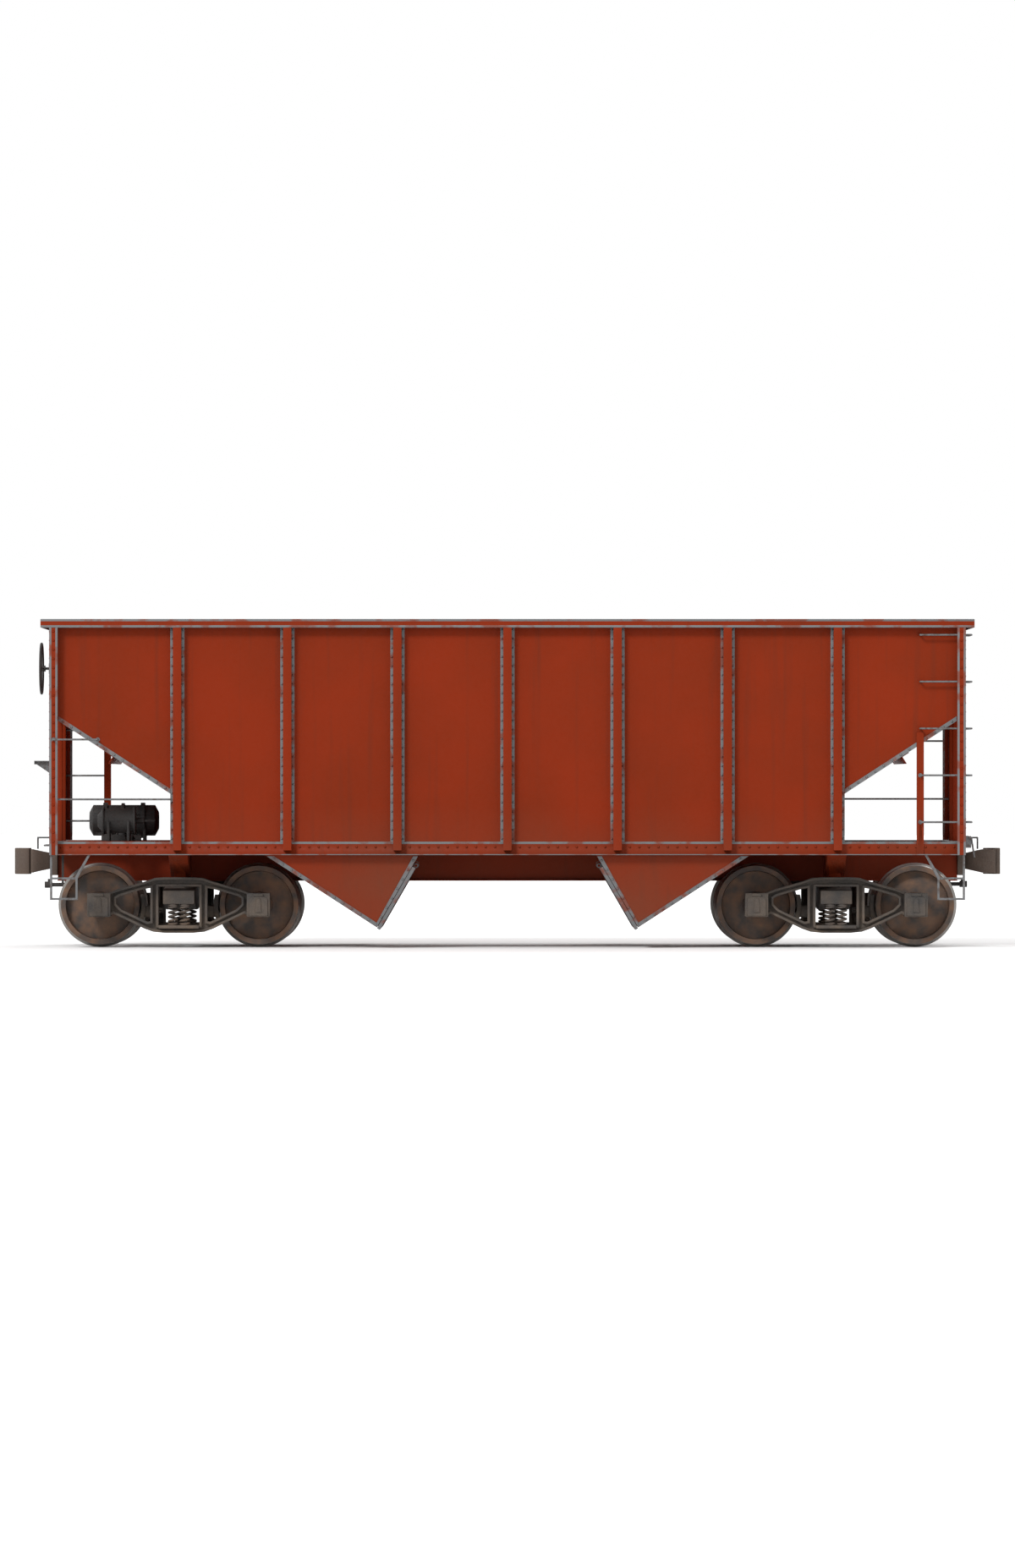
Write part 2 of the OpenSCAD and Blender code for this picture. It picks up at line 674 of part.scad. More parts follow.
// A rod across the end from the coupler's lock to a handle at the left-hand corner
module uncoupling_lever() {
    lock_x = head_x + 120;
    bent_bar([[lock_x, 30, coupler_z + head_h / 2 + 2], [lock_x, 30, lever_z], [lever_x, 30, lever_z],
        [lever_x, lever_y, lever_z], [lever_x + 30, lever_y, lever_z - 200]], bar_r);
    for (y = [300, 860]) difference() {
        block([end_skin_x, y - 6, sill_top_z - 70], [lever_x + 22, y + 6, lever_z + 22]);
        block([end_skin_x - 1, y - 7, sill_top_z + 1], [end_skin_x + 40, y + 7, lever_z + 23]);
    }
}
module uncoupling_levers() { color(STEEL) half_turn() near() uncoupling_lever(); }

// ---------------------------------------------------------------- brakes

pipe_r = 21;
cock_r = 34;
hose_bore_r = 16;
hose_bore_l = 40;
cock_x = end_x + 60;
cock_y = 330;
cock_z = centre_sill_z - 40;
// The train pipe runs inside the centre sill and comes out below it at each end
module train_line() {
    run_z = centre_sill_z + 230;
    drop_x = end_x - 330;
    color(STEEL) difference() {
        union() {
            bar([-drop_x, 110, run_z], [drop_x, 110, run_z], pipe_r);
            bent_bar([[drop_x - 1, 110, run_z], [drop_x, 110, run_z], [drop_x, 110, cock_z],
                [drop_x, cock_y, cock_z], [cock_x, cock_y, cock_z]], pipe_r);
            bent_bar([[1 - drop_x, 110, run_z], [-drop_x, 110, run_z], [-drop_x, 110, cock_z],
                [-drop_x, -cock_y, cock_z], [-cock_x, -cock_y, cock_z]], pipe_r);
            for (x = [-3900, -1300, 1300, 3900]) block([x - 20, 110, run_z - 8],
                [x + 20, channel_back - channel_web, run_z + 8]);
            half_turn() {
                bar([cock_x - 30, cock_y, cock_z], [cock_x + 50, cock_y, cock_z], cock_r);
                bar([cock_x, cock_y, cock_z], [cock_x, cock_y, cock_z + 62], 18);
                block([end_skin_x - 84, cock_y - 8, cock_z], [end_skin_x - 60, cock_y + 8, sill_z]);
            }
        }
        half_turn() bar([cock_x + 50 - hose_bore_l, cock_y, cock_z], [cock_x + 51, cock_y, cock_z],
            hose_bore_r);
    }
}

wheel_y = 650;
wheel_z = top_z - 490;
hand_wheel_x = end_skin_x + 205;
hand_wheel_r = 265;
shaft_r = 14;
// Modelled at end A and turned to end B
module brake_wheel() {
    color(STEEL) rotate([0, 0, 180]) translate([hand_wheel_x, -wheel_y, wheel_z]) rotate([0, 90, 0])
        difference() {
            union() {
                rotate_extrude($fn = 72) translate([hand_wheel_r, 0]) circle(r = 14, $fn = 24);
                for (a = [0:72:359]) rotate([0, 0, a + 18]) bar([20, 0, -20], [hand_wheel_r, 0, 0], 9);
                translate([0, 0, -42]) cylinder(r = 32, h = 50);
            }
            translate([0, 0, -50]) cylinder(r = shaft_r + 0.05, h = 100);
        }
}

module hand_brake() {
    color(CAST) rotate([0, 0, 180]) translate([0, -wheel_y, 0]) {
        block([end_skin_x, -95, wheel_z - 190], [end_skin_x + 92, 95, wheel_z + 95]);
        translate([end_skin_x + 92, 0, wheel_z]) rotate([0, 90, 0]) cylinder(r = 62, h = 34);
        bar([end_skin_x + 92, 0, wheel_z], [hand_wheel_x + 12, 0, wheel_z], shaft_r);
        bar([end_skin_x + 46, 0, wheel_z - 190], [end_skin_x + 46, 0, sill_z + 60], 11);
        block([end_skin_x, -14, sill_z + 24], [end_skin_x + 66, 14, sill_z + 60]);
    }
}

brake_step_z = sill_z + 984;
module brake_step() {
    x0 = end_x + 56;
    x1 = end_x + 256;
    color(STEEL) rotate([0, 0, 180]) mirror([0, 1, 0]) {
        block([x0, 300, brake_step_z], [x1, 1100, brake_step_z + 8]);
        for (x = [x0, x1 - 8]) block([x, 300, brake_step_z - 30], [x + 8, 1100, brake_step_z + 8]);
        side_profile([[end_wall_x - 4, brake_step_z - 200], [end_wall_x - 4, brake_step_z],
            [x1 - 8, brake_step_z], [x1 - 8, brake_step_z - 20]], 345, 355);
        side_profile([[end_x, brake_step_z - 125], [end_x, brake_step_z], [x1 - 8, brake_step_z],
            [x1 - 8, brake_step_z - 20]], end_stile_y - 5, end_stile_y + 5);
    }
}

stringer_ys = [-620, -360, 360, 620];
stringer_w = 60;
// Angles from the end sill to the bolster at end B, which carry the air brake gear
module brake_stringers() {
    x0 = bogie_x + bolster_half;
    x1 = end_skin_x - sill_t - end_sill_flange;
    color(OXIDE) mirror([1, 0, 0]) for (y = stringer_ys) {
        block([x0, y - stringer_w / 2, sill_top_z - 8], [x1, y + stringer_w / 2, sill_top_z]);
        block([x0, y - 4, sill_top_z - stringer_w], [x1, y + 4, sill_top_z]);
    }
}

cylinder_r = 130;
gear_x = bogie_x + 640;
// Saddles from the stringers up to a round tank that lies along the wagon
module saddles(r, half, z) {
    for (x = [-half, half]) difference() {
        block([x - 15, -r * 0.8, 0], [x + 15, r * 0.8, z]);
        translate([x - 16, 0, z]) rotate([0, 90, 0]) cylinder(r = r, h = 32);
    }
}

module brake_cylinder() {
    color(CAST) translate([-gear_x, -490, sill_top_z]) {
        translate([-190, 0, 215]) rotate([0, 90, 0]) {
            cylinder(r = cylinder_r, h = 330);
            cylinder(r = cylinder_r + 22, h = 22);
            translate([0, 0, -50]) cylinder(r1 = 60, r2 = cylinder_r - 10, h = 50);
            translate([0, 0, 330]) cylinder(r = cylinder_r + 22, h = 24);
            translate([0, 0, 354]) cylinder(r = 34, h = 90);
            translate([0, 0, 440]) cylinder(r = 14, h = 120);
        }
        union() {
            for (x = [-120, 90]) difference() {
                block([x - 15, -160, 0], [x + 15, 160, 215]);
                translate([x - 16, 0, 215]) rotate([0, 90, 0]) cylinder(r = cylinder_r - 1, h = 32);
            }
        }
    }
}

reservoir_r = 165;
module air_reservoir() {
    color(CAST) translate([-gear_x, 490, sill_top_z]) {
        translate([-330, 0, 215]) rotate([0, 90, 0]) {
            cylinder(r = reservoir_r, h = 660);
            translate([0, 0, 300]) cylinder(r = reservoir_r + 20, h = 36);
            translate([0, 0, -40]) cylinder(r1 = 90, r2 = reservoir_r, h = 40);
            translate([0, 0, 660]) cylinder(r1 = reservoir_r, r2 = 90, h = 40);
        }
        for (x = [-220, 220]) difference() {
            block([x - 15, -160, 0], [x + 15, 160, 215]);
            translate([x - 16, 0, 215]) rotate([0, 90, 0]) cylinder(r = reservoir_r - 1, h = 32);
        }
    }
}

module control_valve() {
    color(CAST) translate([-gear_x, 0, centre_sill_top + cover_t]) {
        block([-110, -90, 0], [110, 90, 150]);
        translate([-110, 0, 90]) rotate([0, -90, 0]) cylinder(r = 70, h = 110);
        translate([110, 0, 90]) rotate([0, 90, 0]) cylinder(r = 58, h = 90);
        translate([0, 0, 150]) cylinder(r = 40, h = 60);
    }
}

// ---------------------------------------------------------------- bogies

axle_x = wheelbase / 2;
frame_y = journal_span / 2;
frame_depth = 130;
frame_web = 34;
frame_rim = 26;
window_half = 215;
window_low = rail_z + 209;
window_high = rail_z + 614;
box_half_x = 122;
box_low = axle_z - 118;
box_high = axle_z + 128;
box_in = frame_y - 116;
box_out = frame_y + 156;
journal_gap = 0.08;

// Moves every edge of a polygon inwards by d; the points run clockwise
function inset(p, d) = [for (i = [0:len(p) - 1])
    let (a = p[(i + len(p) - 1) % len(p)], b = p[i], c = p[(i + 1) % len(p)],
        u = (b - a) / norm(b - a), v = (c - b) / norm(c - b),
        m = [u[1] + v[1], -u[0] - v[0]])
    b + m * d / (1 + u * v)];

// Left-right symmetric outline from its right-hand half, clockwise from the top
function mirrored(half) = concat(half, [for (i = [len(half) - 1:-1:0]) [-half[i][0], half[i][1]]]);

function frame_outline() = mirrored([
    [150, rail_z + 712], [250, rail_z + 706], [360, rail_z + 668], [640, rail_z + 590],
    [axle_x - 90, box_high], [axle_x + box_half_x, box_high], [axle_x + box_half_x, box_low],
    [axle_x - 100, box_low], [690, rail_z + 330], [360, rail_z + 172], [270, rail_z + 140],
    [150, rail_z + 128]]);

function side_window() = [[300, rail_z + 600], [380, rail_z + 585], [620, rail_z + 515],
    [660, rail_z + 490], [660, rail_z + 430], [600, rail_z + 372], [330, rail_z + 244], [300, rail_z + 250]];

function spring_window() = [[-window_half, window_high], [window_half, window_high],
    [window_half, window_low], [-window_half, window_low]];

module upright(depth) { translate([0, depth / 2, 0]) rotate([90, 0, 0]) linear_extrude(depth) children(); }

module window_rim(points) {
    difference() {
        polygon(inset(points, -frame_rim));
        polygon(points);
    }
}

// One cast side frame about its own middle plane
module side_frame() {
    difference() {
        union() {
            upright(frame_web) polygon(frame_outline());
            upright(frame_depth) {
                difference() {
                    polygon(frame_outline());
                    polygon(inset(frame_outline(), frame_rim));
                }
                window_rim(spring_window());
                window_rim(side_window());
                mirror([1, 0]) window_rim(side_window());
            }
            both_ends() block([axle_x - box_half_x, box_in - frame_y, box_low],
                [axle_x + box_half_x, box_out - frame_y, box_high]);
            block([-window_half + 4, -120, window_low - 34], [window_half - 4, 120, window_low]);
        }
        upright(2 * frame_depth) {
            polygon(spring_window());
            polygon(side_window());
            mirror([1, 0]) polygon(side_window());
        }
        both_ends() translate([axle_x, box_out - frame_y - 22, axle_z]) rotate([90, 0, 0])
            cylinder(r = journal_r + journal_gap, h = box_out - box_in);
    }
}

module side_frames() { color(CAST) both_sides() translate([0, frame_y, 0]) side_frame(); }

truck_bolster_half = 165;
bolster_end_y = frame_y + 117;
spring_top_z = window_low + 222;
bolster_top_z = window_high - 42;
bowl_gap = 0.2;
module truck_bolster() {
    color(CAST) {
        end_profile(mirrored([[210, plate_z - 26], [side_bearing_y + 70, rail_z + 600],
            [bolster_end_y, bolster_top_z], [bolster_end_y, spring_top_z],
            [frame_y - 130, spring_top_z], [380, spring_top_z - 60], [180, spring_top_z - 70]]),
            -truck_bolster_half, truck_bolster_half);
        difference() {
            translate([0, 0, plate_z - 60]) cylinder(r = body_plate_r + 36, h = 67);
            translate([0, 0, plate_z - bowl_gap]) cylinder(r = body_plate_r + 10, h = 40);
        }
        both_sides() block([-55, side_bearing_y - 40, rail_z + 590], [55, side_bearing_y + 40, bearing_pad_z]);
    }
}

spring_r = 55;
spring_wire = 26;
spring_pitch = 62;
module springs() {
    color(STEEL) both_sides() both_ends() for (y = [-spring_pitch, spring_pitch])
        translate([spring_pitch, frame_y + y, window_low]) difference() {
            cylinder(r = spring_r, h = spring_top_z - window_low);
            translate([0, 0, -1]) cylinder(r = spring_r - spring_wire, h = spring_top_z - window_low + 2);
        }
}

shoe_gap = 10;
shoe_t = 44;
shoe_y = back_to_back / 2 + 80;
beam_x = axle_x - wheel_r - 100;
beam_z = axle_z - 70;
// Inside-hung brake beams: a bar, a truss rod and strut, and a shoe at each wheel
module brake_beam() {
    shoe_r = wheel_r + 7 + shoe_gap;
    block([beam_x - 24, -shoe_y + 20, beam_z - 30], [beam_x + 24, shoe_y - 20, beam_z + 30]);
    block([beam_x - 110, -28, beam_z - 26], [beam_x, 28, beam_z + 26]);
    both_sides() {
        bar([beam_x - 92, 0, beam_z], [beam_x, shoe_y - 60, beam_z], 13);
        intersection() {
            translate([axle_x, shoe_y + 40, axle_z]) rotate([90, 0, 0]) difference() {
                cylinder(r = shoe_r + shoe_t, h = 80, $fn = 144);
                translate([0, 0, -1]) cylinder(r = shoe_r, h = 82, $fn = 144);
            }
            block([0, 0, axle_z - 190], [axle_x - 380, 2 * frame_y, axle_z + 110]);
        }
        block([beam_x - 20, shoe_y - 31, beam_z - 60], [axle_x - shoe_r - 20, shoe_y + 25, beam_z + 60]);
        block([beam_x - 58, shoe_y - 30, beam_z - 22], [beam_x - 18, frame_y - frame_depth / 2, beam_z + 22]);
    }
}
module brake_beams() { color(CAST) both_ends() brake_beam(); }

hub_in = back_to_back / 2 - 10;
hub_out = hub_in + 172;
rim_in = back_to_back / 2;
rim_out = rim_in + 145;
seat_r = 89;
// Radius and distance out from the wagon's middle: hub, dished plate, rim, flange and coned tread
module wheel_section() {
    polygon([[seat_r, hub_in], [132, hub_in], [140, rim_in + 44], [352, rim_in + 22], [362, rim_in],
        [wheel_r + flange_h - 6, rim_in], [wheel_r + flange_h, rim_in + 8], [wheel_r + flange_h, rim_in + 18],
        [wheel_r + flange_h - 6, rim_in + 26], [wheel_r + 8, rim_in + 36], [wheel_r + 1, rim_in + 50],
        [wheel_r - 3, rim_out - 6], [wheel_r - 8, rim_out], [364, rim_out], [352, rim_in + 50],
        [140, rim_in + 74], [132, hub_out], [seat_r, hub_out]]);
}
module wheel_pair() {
    color(STEEL) translate([0, 0, axle_z]) both_sides() rotate([-90, 0, 0])
        rotate_extrude($fn = 96) wheel_section();
}

axle_end = frame_y + 118;
module axle() {
    color(STEEL) translate([0, 0, axle_z]) both_sides() rotate([-90, 0, 0]) rotate_extrude($fn = 64) polygon([
        [0, -0.5], [70, -0.5], [70, 120], [80, hub_in - 60], [seat_r - 0.05, hub_in - 20], [seat_r - 0.05, hub_out],
        [82, hub_out + 4], [82, box_in - 8], [journal_r, box_in - 4], [journal_r, axle_end - 6],
        [journal_r - 6, axle_end], [0, axle_end]]);
}

module at_bogie(end) { translate([end * bogie_x, 0, 0]) children(); }
module at_axle(end, side) { translate([end * (bogie_x + side * axle_x), 0, 0]) children(); }

// ---------------------------------------------------------------- the nodes

near() side_sheets();  // side_sheets_near
side_sheets();  // side_sheets_far
near() side_stakes();  // side_stakes_near
side_stakes();  // side_stakes_far
side_sills();
top_chords();
end_chords();
corner_posts();
end_sheets();
slope_sheets();
slope_beams();
centre_ridge();
sill_hoods();
hopper_sheets();  // hopper_sheets_a
rotate([0, 0, 180]) hopper_sheets();  // hopper_sheets_b
centre_sill();
end_sills();
body_bolsters();
end_posts();
cross_ties();
side_ladders();
end_ladders();
grab_irons();
sill_steps();
couplers();
knuckles();
strikers();
uncoupling_levers();
train_line();
brake_wheel();
hand_brake();
brake_step();
brake_stringers();
brake_cylinder();
air_reservoir();
control_valve();
near() door();  // door_a_near
door();  // door_a_far
rotate([0, 0, 180]) door();  // door_b_near
rotate([0, 0, 180]) near() door();  // door_b_far
at_bogie(1) side_frames();  // side_frames_a
at_bogie(1) truck_bolster();  // truck_bolster_a
at_bogie(1) springs();  // springs_a
at_bogie(1) brake_beams();  // brake_beams_a
at_bogie(-1) side_frames();  // side_frames_b
at_bogie(-1) truck_bolster();  // truck_bolster_b
at_bogie(-1) springs();  // springs_b
at_bogie(-1) brake_beams();  // brake_beams_b
at_axle(1, 1) wheel_pair();  // wheels_a_outer
at_axle(1, 1) axle();  // axle_a_outer
at_axle(1, -1) wheel_pair();  // wheels_a_inner
at_axle(1, -1) axle();  // axle_a_inner
at_axle(-1, 1) wheel_pair();  // wheels_b_outer
at_axle(-1, 1) axle();  // axle_b_outer
at_axle(-1, -1) wheel_pair();  // wheels_b_inner
at_axle(-1, -1) axle();  // axle_b_inner
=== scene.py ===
"""An open hopper wagon: a riveted steel coal hopper with outside stakes, on two cast bogies.

The sections follow the wagon as it is put together, from the wheels up. Lengths are in metres.
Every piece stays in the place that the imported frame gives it."""

import math

import bmesh
import bpy
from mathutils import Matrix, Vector


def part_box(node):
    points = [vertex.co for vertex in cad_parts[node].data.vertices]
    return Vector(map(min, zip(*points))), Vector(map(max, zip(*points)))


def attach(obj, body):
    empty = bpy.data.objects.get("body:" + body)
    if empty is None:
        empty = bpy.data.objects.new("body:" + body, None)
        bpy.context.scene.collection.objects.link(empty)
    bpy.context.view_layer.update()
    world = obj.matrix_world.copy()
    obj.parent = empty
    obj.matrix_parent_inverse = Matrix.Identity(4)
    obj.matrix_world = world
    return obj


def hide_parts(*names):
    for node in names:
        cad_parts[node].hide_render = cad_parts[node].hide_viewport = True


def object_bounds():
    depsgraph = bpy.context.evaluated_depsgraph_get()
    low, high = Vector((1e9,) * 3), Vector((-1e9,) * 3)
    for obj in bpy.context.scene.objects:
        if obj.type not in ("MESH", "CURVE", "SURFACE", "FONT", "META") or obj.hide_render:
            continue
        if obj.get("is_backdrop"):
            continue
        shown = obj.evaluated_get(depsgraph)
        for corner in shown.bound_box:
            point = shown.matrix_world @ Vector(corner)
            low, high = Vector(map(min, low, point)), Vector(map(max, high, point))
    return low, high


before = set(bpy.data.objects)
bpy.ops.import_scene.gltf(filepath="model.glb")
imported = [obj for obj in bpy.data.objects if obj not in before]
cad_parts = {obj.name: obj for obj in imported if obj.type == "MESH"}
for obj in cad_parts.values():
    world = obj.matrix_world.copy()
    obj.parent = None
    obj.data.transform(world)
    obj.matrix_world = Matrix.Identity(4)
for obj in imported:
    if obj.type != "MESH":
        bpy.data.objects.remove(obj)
cad_low, cad_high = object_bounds()

# ---------------------------------------------------------------- wheels and axles
# Cast steel wheels pressed on forged axles. The rails keep the treads and flanges bright; the
# plates are never painted, so oil and brake dust have turned them dark brown.


def finish_of(name, colour, rough=0.6, metal=0.0):
    """A new finish and what its makers need: nodes, links, the main shader and the place on the piece."""
    made = bpy.data.materials.new(name)
    made.use_nodes = True
    nodes, links = made.node_tree.nodes, made.node_tree.links
    shader = nodes["Principled BSDF"]
    shader.inputs["Base Color"].default_value = (*colour, 1)
    shader.inputs["Roughness"].default_value = rough
    shader.inputs["Metallic"].default_value = metal
    return made, nodes, links, shader, nodes.new("ShaderNodeTexCoord").outputs["Object"]


def clouds(nodes, links, place, scale, detail=4, stretch=(1, 1, 1)):
    """Noise about 0.5 on a stretched place."""
    mapping = nodes.new("ShaderNodeMapping")
    mapping.inputs["Scale"].default_value = stretch
    links.new(place, mapping.inputs["Vector"])
    noise = nodes.new("ShaderNodeTexNoise")
    noise.inputs["Scale"].default_value = scale
    noise.inputs["Detail"].default_value = detail
    links.new(mapping.outputs["Vector"], noise.inputs["Vector"])
    return noise.outputs["Fac"]


def spread(nodes, links, value, low, high, out_low=0.0, out_high=1.0):
    """The stretch of a value from low to high, laid over out_low to out_high and held there."""
    ramp = nodes.new("ShaderNodeMapRange")
    links.new(value, ramp.inputs["Value"])
    for socket, number in (("From Min", low), ("From Max", high), ("To Min", out_low), ("To Max", out_high)):
        ramp.inputs[socket].default_value = number
    return ramp.outputs["Result"]


def both(nodes, links, first, second, how="MULTIPLY"):
    """Two values put together; the second may be a number."""
    sum_node = nodes.new("ShaderNodeMath")
    sum_node.operation = how
    links.new(first, sum_node.inputs[0])
    if isinstance(second, (int, float)):
        sum_node.inputs[1].default_value = second
    else:
        links.new(second, sum_node.inputs[1])
    return sum_node.outputs["Value"]


def mixed(nodes, links, share, first, second):
    """Two colours mixed by a share; each is three numbers or a socket."""
    mix = nodes.new("ShaderNodeMix")
    mix.data_type = "RGBA"
    links.new(share, mix.inputs["Factor"])
    for socket, colour in ((mix.inputs["A"], first), (mix.inputs["B"], second)):
        if isinstance(colour, tuple):
            socket.default_value = (*colour, 1)
        else:
            links.new(colour, socket)
    return mix.outputs["Result"]


def bumps(nodes, links, shader, value, height):
    """Bump from a value, height metres deep."""
    bump = nodes.new("ShaderNodeBump")
    bump.inputs["Distance"].default_value = height
    links.new(value, bump.inputs["Height"])
    links.new(bump.outputs["Normal"], shader.inputs["Normal"])


plate_r, tread_r = 0.4125, 0.4155


def wheel_finish(name, hub):
    """Brown plate, and bright steel from the tread outwards, where the rail and the brake shoe run."""
    made, nodes, links, shader, place = finish_of(name, (0.09, 0.065, 0.05), 0.7, 0.3)
    mapping = nodes.new("ShaderNodeMapping")
    mapping.inputs["Location"].default_value = (-hub.x, 0, -hub.z)
    links.new(place, mapping.inputs["Vector"])
    parts = nodes.new("ShaderNodeSeparateXYZ")
    links.new(mapping.outputs["Vector"], parts.inputs["Vector"])
    squares = [both(nodes, links, parts.outputs[axis], parts.outputs[axis]) for axis in ("X", "Z")]
    radius = both(nodes, links, both(nodes, links, *squares, "ADD"), 0.5, "POWER")
    bright = spread(nodes, links, radius, plate_r, tread_r)
    rust = clouds(nodes, links, place, 7, 6)
    grain = clouds(nodes, links, place, 90, 4)
    plate = mixed(nodes, links, spread(nodes, links, rust, 0.35, 0.68),
                  (0.055, 0.045, 0.04), (0.15, 0.082, 0.048))
    links.new(mixed(nodes, links, bright, plate, (0.24, 0.225, 0.21)), shader.inputs["Base Color"])
    links.new(spread(nodes, links, bright, 0, 1, 0.3, 0.85), shader.inputs["Metallic"])
    links.new(spread(nodes, links, bright, 0, 1, 0.72, 0.36), shader.inputs["Roughness"])
    bumps(nodes, links, shader, grain, 0.0006)
    return made


def only_finish(piece, made):
    """One finish all over a piece."""
    piece.data.materials.clear()
    piece.data.materials.append(made)


for body in ("a_outer", "a_inner", "b_outer", "b_inner"):
    low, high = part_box(f"wheels_{body}")
    finish = wheel_finish(f"wheel_{body}", (low + high) / 2)
    only_finish(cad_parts[f"wheels_{body}"], finish)
    only_finish(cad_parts[f"axle_{body}"], finish)

# ---------------------------------------------------------------- bogie castings
# Side frames, bolsters and brake beams are cast steel with rounded edges, black paint long since
# hidden under brake dust and oil. Their journal boxes have a hinged lid held down by a spring.


def casting_finish(name, dark, dusty):
    """Rough cast steel under road dust, which is thickest low down."""
    made, nodes, links, shader, place = finish_of(name, dark, 0.78, 0.1)
    patches = clouds(nodes, links, place, 5, 6)
    grain = clouds(nodes, links, place, 75, 5)
    height = nodes.new("ShaderNodeSeparateXYZ")
    links.new(place, height.inputs["Vector"])
    low_down = spread(nodes, links, height.outputs["Z"], 0.9, 0.1, 0.15, 0.75)
    share = both(nodes, links, spread(nodes, links, patches, 0.3, 0.7), low_down)
    links.new(mixed(nodes, links, share, dark, dusty), shader.inputs["Base Color"])
    links.new(spread(nodes, links, grain, 0.3, 0.7, 0.62, 0.9), shader.inputs["Roughness"])
    bumps(nodes, links, shader, grain, 0.0015)
    return made


def merged(name, cuts=()):
    """A CAD node's own mesh, with its triangles joined up into flat faces. cuts are planes, each a point
    and a direction, that part off bands of its faces."""
    mesh = bmesh.new()
    mesh.from_mesh(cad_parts[name].data)
    bmesh.ops.remove_doubles(mesh, verts=mesh.verts, dist=1e-5)
    bmesh.ops.dissolve_limit(mesh, angle_limit=math.radians(0.6), verts=mesh.verts, edges=mesh.edges,
                             delimit={"MATERIAL"})
    for point, way in cuts:
        bmesh.ops.bisect_plane(mesh, geom=[*mesh.verts, *mesh.edges, *mesh.faces],
                               plane_co=point, plane_no=way)
    return mesh


def piece_from(mesh, name, made, body, smooth_below=40, stands_for=()):
    """A finished piece from a mesh in place: shaded, given its finish or finishes, and put on its body.
    It hides the CAD nodes that it stands for."""
    data = bpy.data.meshes.new(name)
    mesh.to_mesh(data)
    mesh.free()
    for finish in made if isinstance(made, (list, tuple)) else [made]:
        data.materials.append(finish)
    data.polygons.foreach_set("use_smooth", [True] * len(data.polygons))
    data.set_sharp_from_angle(angle=math.radians(smooth_below))
    piece = bpy.data.objects.new(name, data)
    bpy.context.scene.collection.objects.link(piece)
    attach(piece, body)
    if stands_for:
        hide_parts(*stands_for)
    return piece


def rounded(name, made, body, radius, segments=2, sharpest=35, shape=None):
    """Stands for a CAD node, with its outer edges rounded as a casting's or a rolled section's are.
    shape is what is done to the mesh first."""
    mesh = merged(name)
    if shape:
        shape(mesh)
    edges = [e for e in mesh.edges if e.is_manifold and e.is_convex
             and e.calc_face_angle() > math.radians(sharpest)]
    bmesh.ops.bevel(mesh, geom=edges, offset=radius, segments=segments, profile=0.5, affect="EDGES",
                    clamp_overlap=True)
    return piece_from(mesh, f"{name}_finished", made, body, stands_for=[name])


journal_r, brass_room = 0.0695, 0.001


def axle_centres(end):
    """The middles of a bogie's two axles, the outer one first."""
    return [sum(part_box(f"axle_{end}_{place}"), Vector()) / 2 for place in ("outer", "inner")]


def eased_journals(mesh, axles):
    """Opens each journal bore a little, as worn brasses are, so that the axle turns clear in it."""
    for axle in axles:
        for vertex in mesh.verts:
            from_axle = Vector((vertex.co.x - axle.x, 0, vertex.co.z - axle.z))
            if abs(from_axle.length - journal_r) < brass_room:
                vertex.co += from_axle.normalized() * brass_room


casting = casting_finish("bogie_casting", (0.035, 0.032, 0.03), (0.15, 0.105, 0.07))
frame_edge_r, bolster_edge_r, beam_edge_r = 0.008, 0.014, 0.004
for end in ("a", "b"):
    axles = axle_centres(end)
    rounded(f"side_frames_{end}", casting, f"truck_{end}", frame_edge_r,
            shape=lambda mesh: eased_journals(mesh, axles))
    rounded(f"truck_bolster_{end}", casting, f"truck_{end}", bolster_edge_r)
    rounded(f"brake_beams_{end}", casting, f"truck_{end}", beam_edge_r)


def drawn_out(mesh, outline, out):
    """A closed solid: the corner points of a flat outline, drawn out along a vector."""
    low = [mesh.verts.new(corner) for corner in outline]
    high = [mesh.verts.new(v.co + Vector(out)) for v in low]
    mesh.faces.new(low[::-1])
    mesh.faces.new(high)
    for i in range(len(low)):
        j = (i + 1) % len(low)
        mesh.faces.new((low[i], low[j], high[j], high[i]))


def eased(mesh, radius, segments=1, sharpest=50):
    """Small rounds on a new mesh's outer edges, after its faces are turned outwards."""
    bmesh.ops.recalc_face_normals(mesh, faces=mesh.faces)
    edges = [e for e in mesh.edges if e.is_manifold and e.calc_face_angle() > math.radians(sharpest)]
    bmesh.ops.bevel(mesh, geom=edges, offset=radius, segments=segments, profile=0.5, affect="EDGES",
                    clamp_overlap=True)


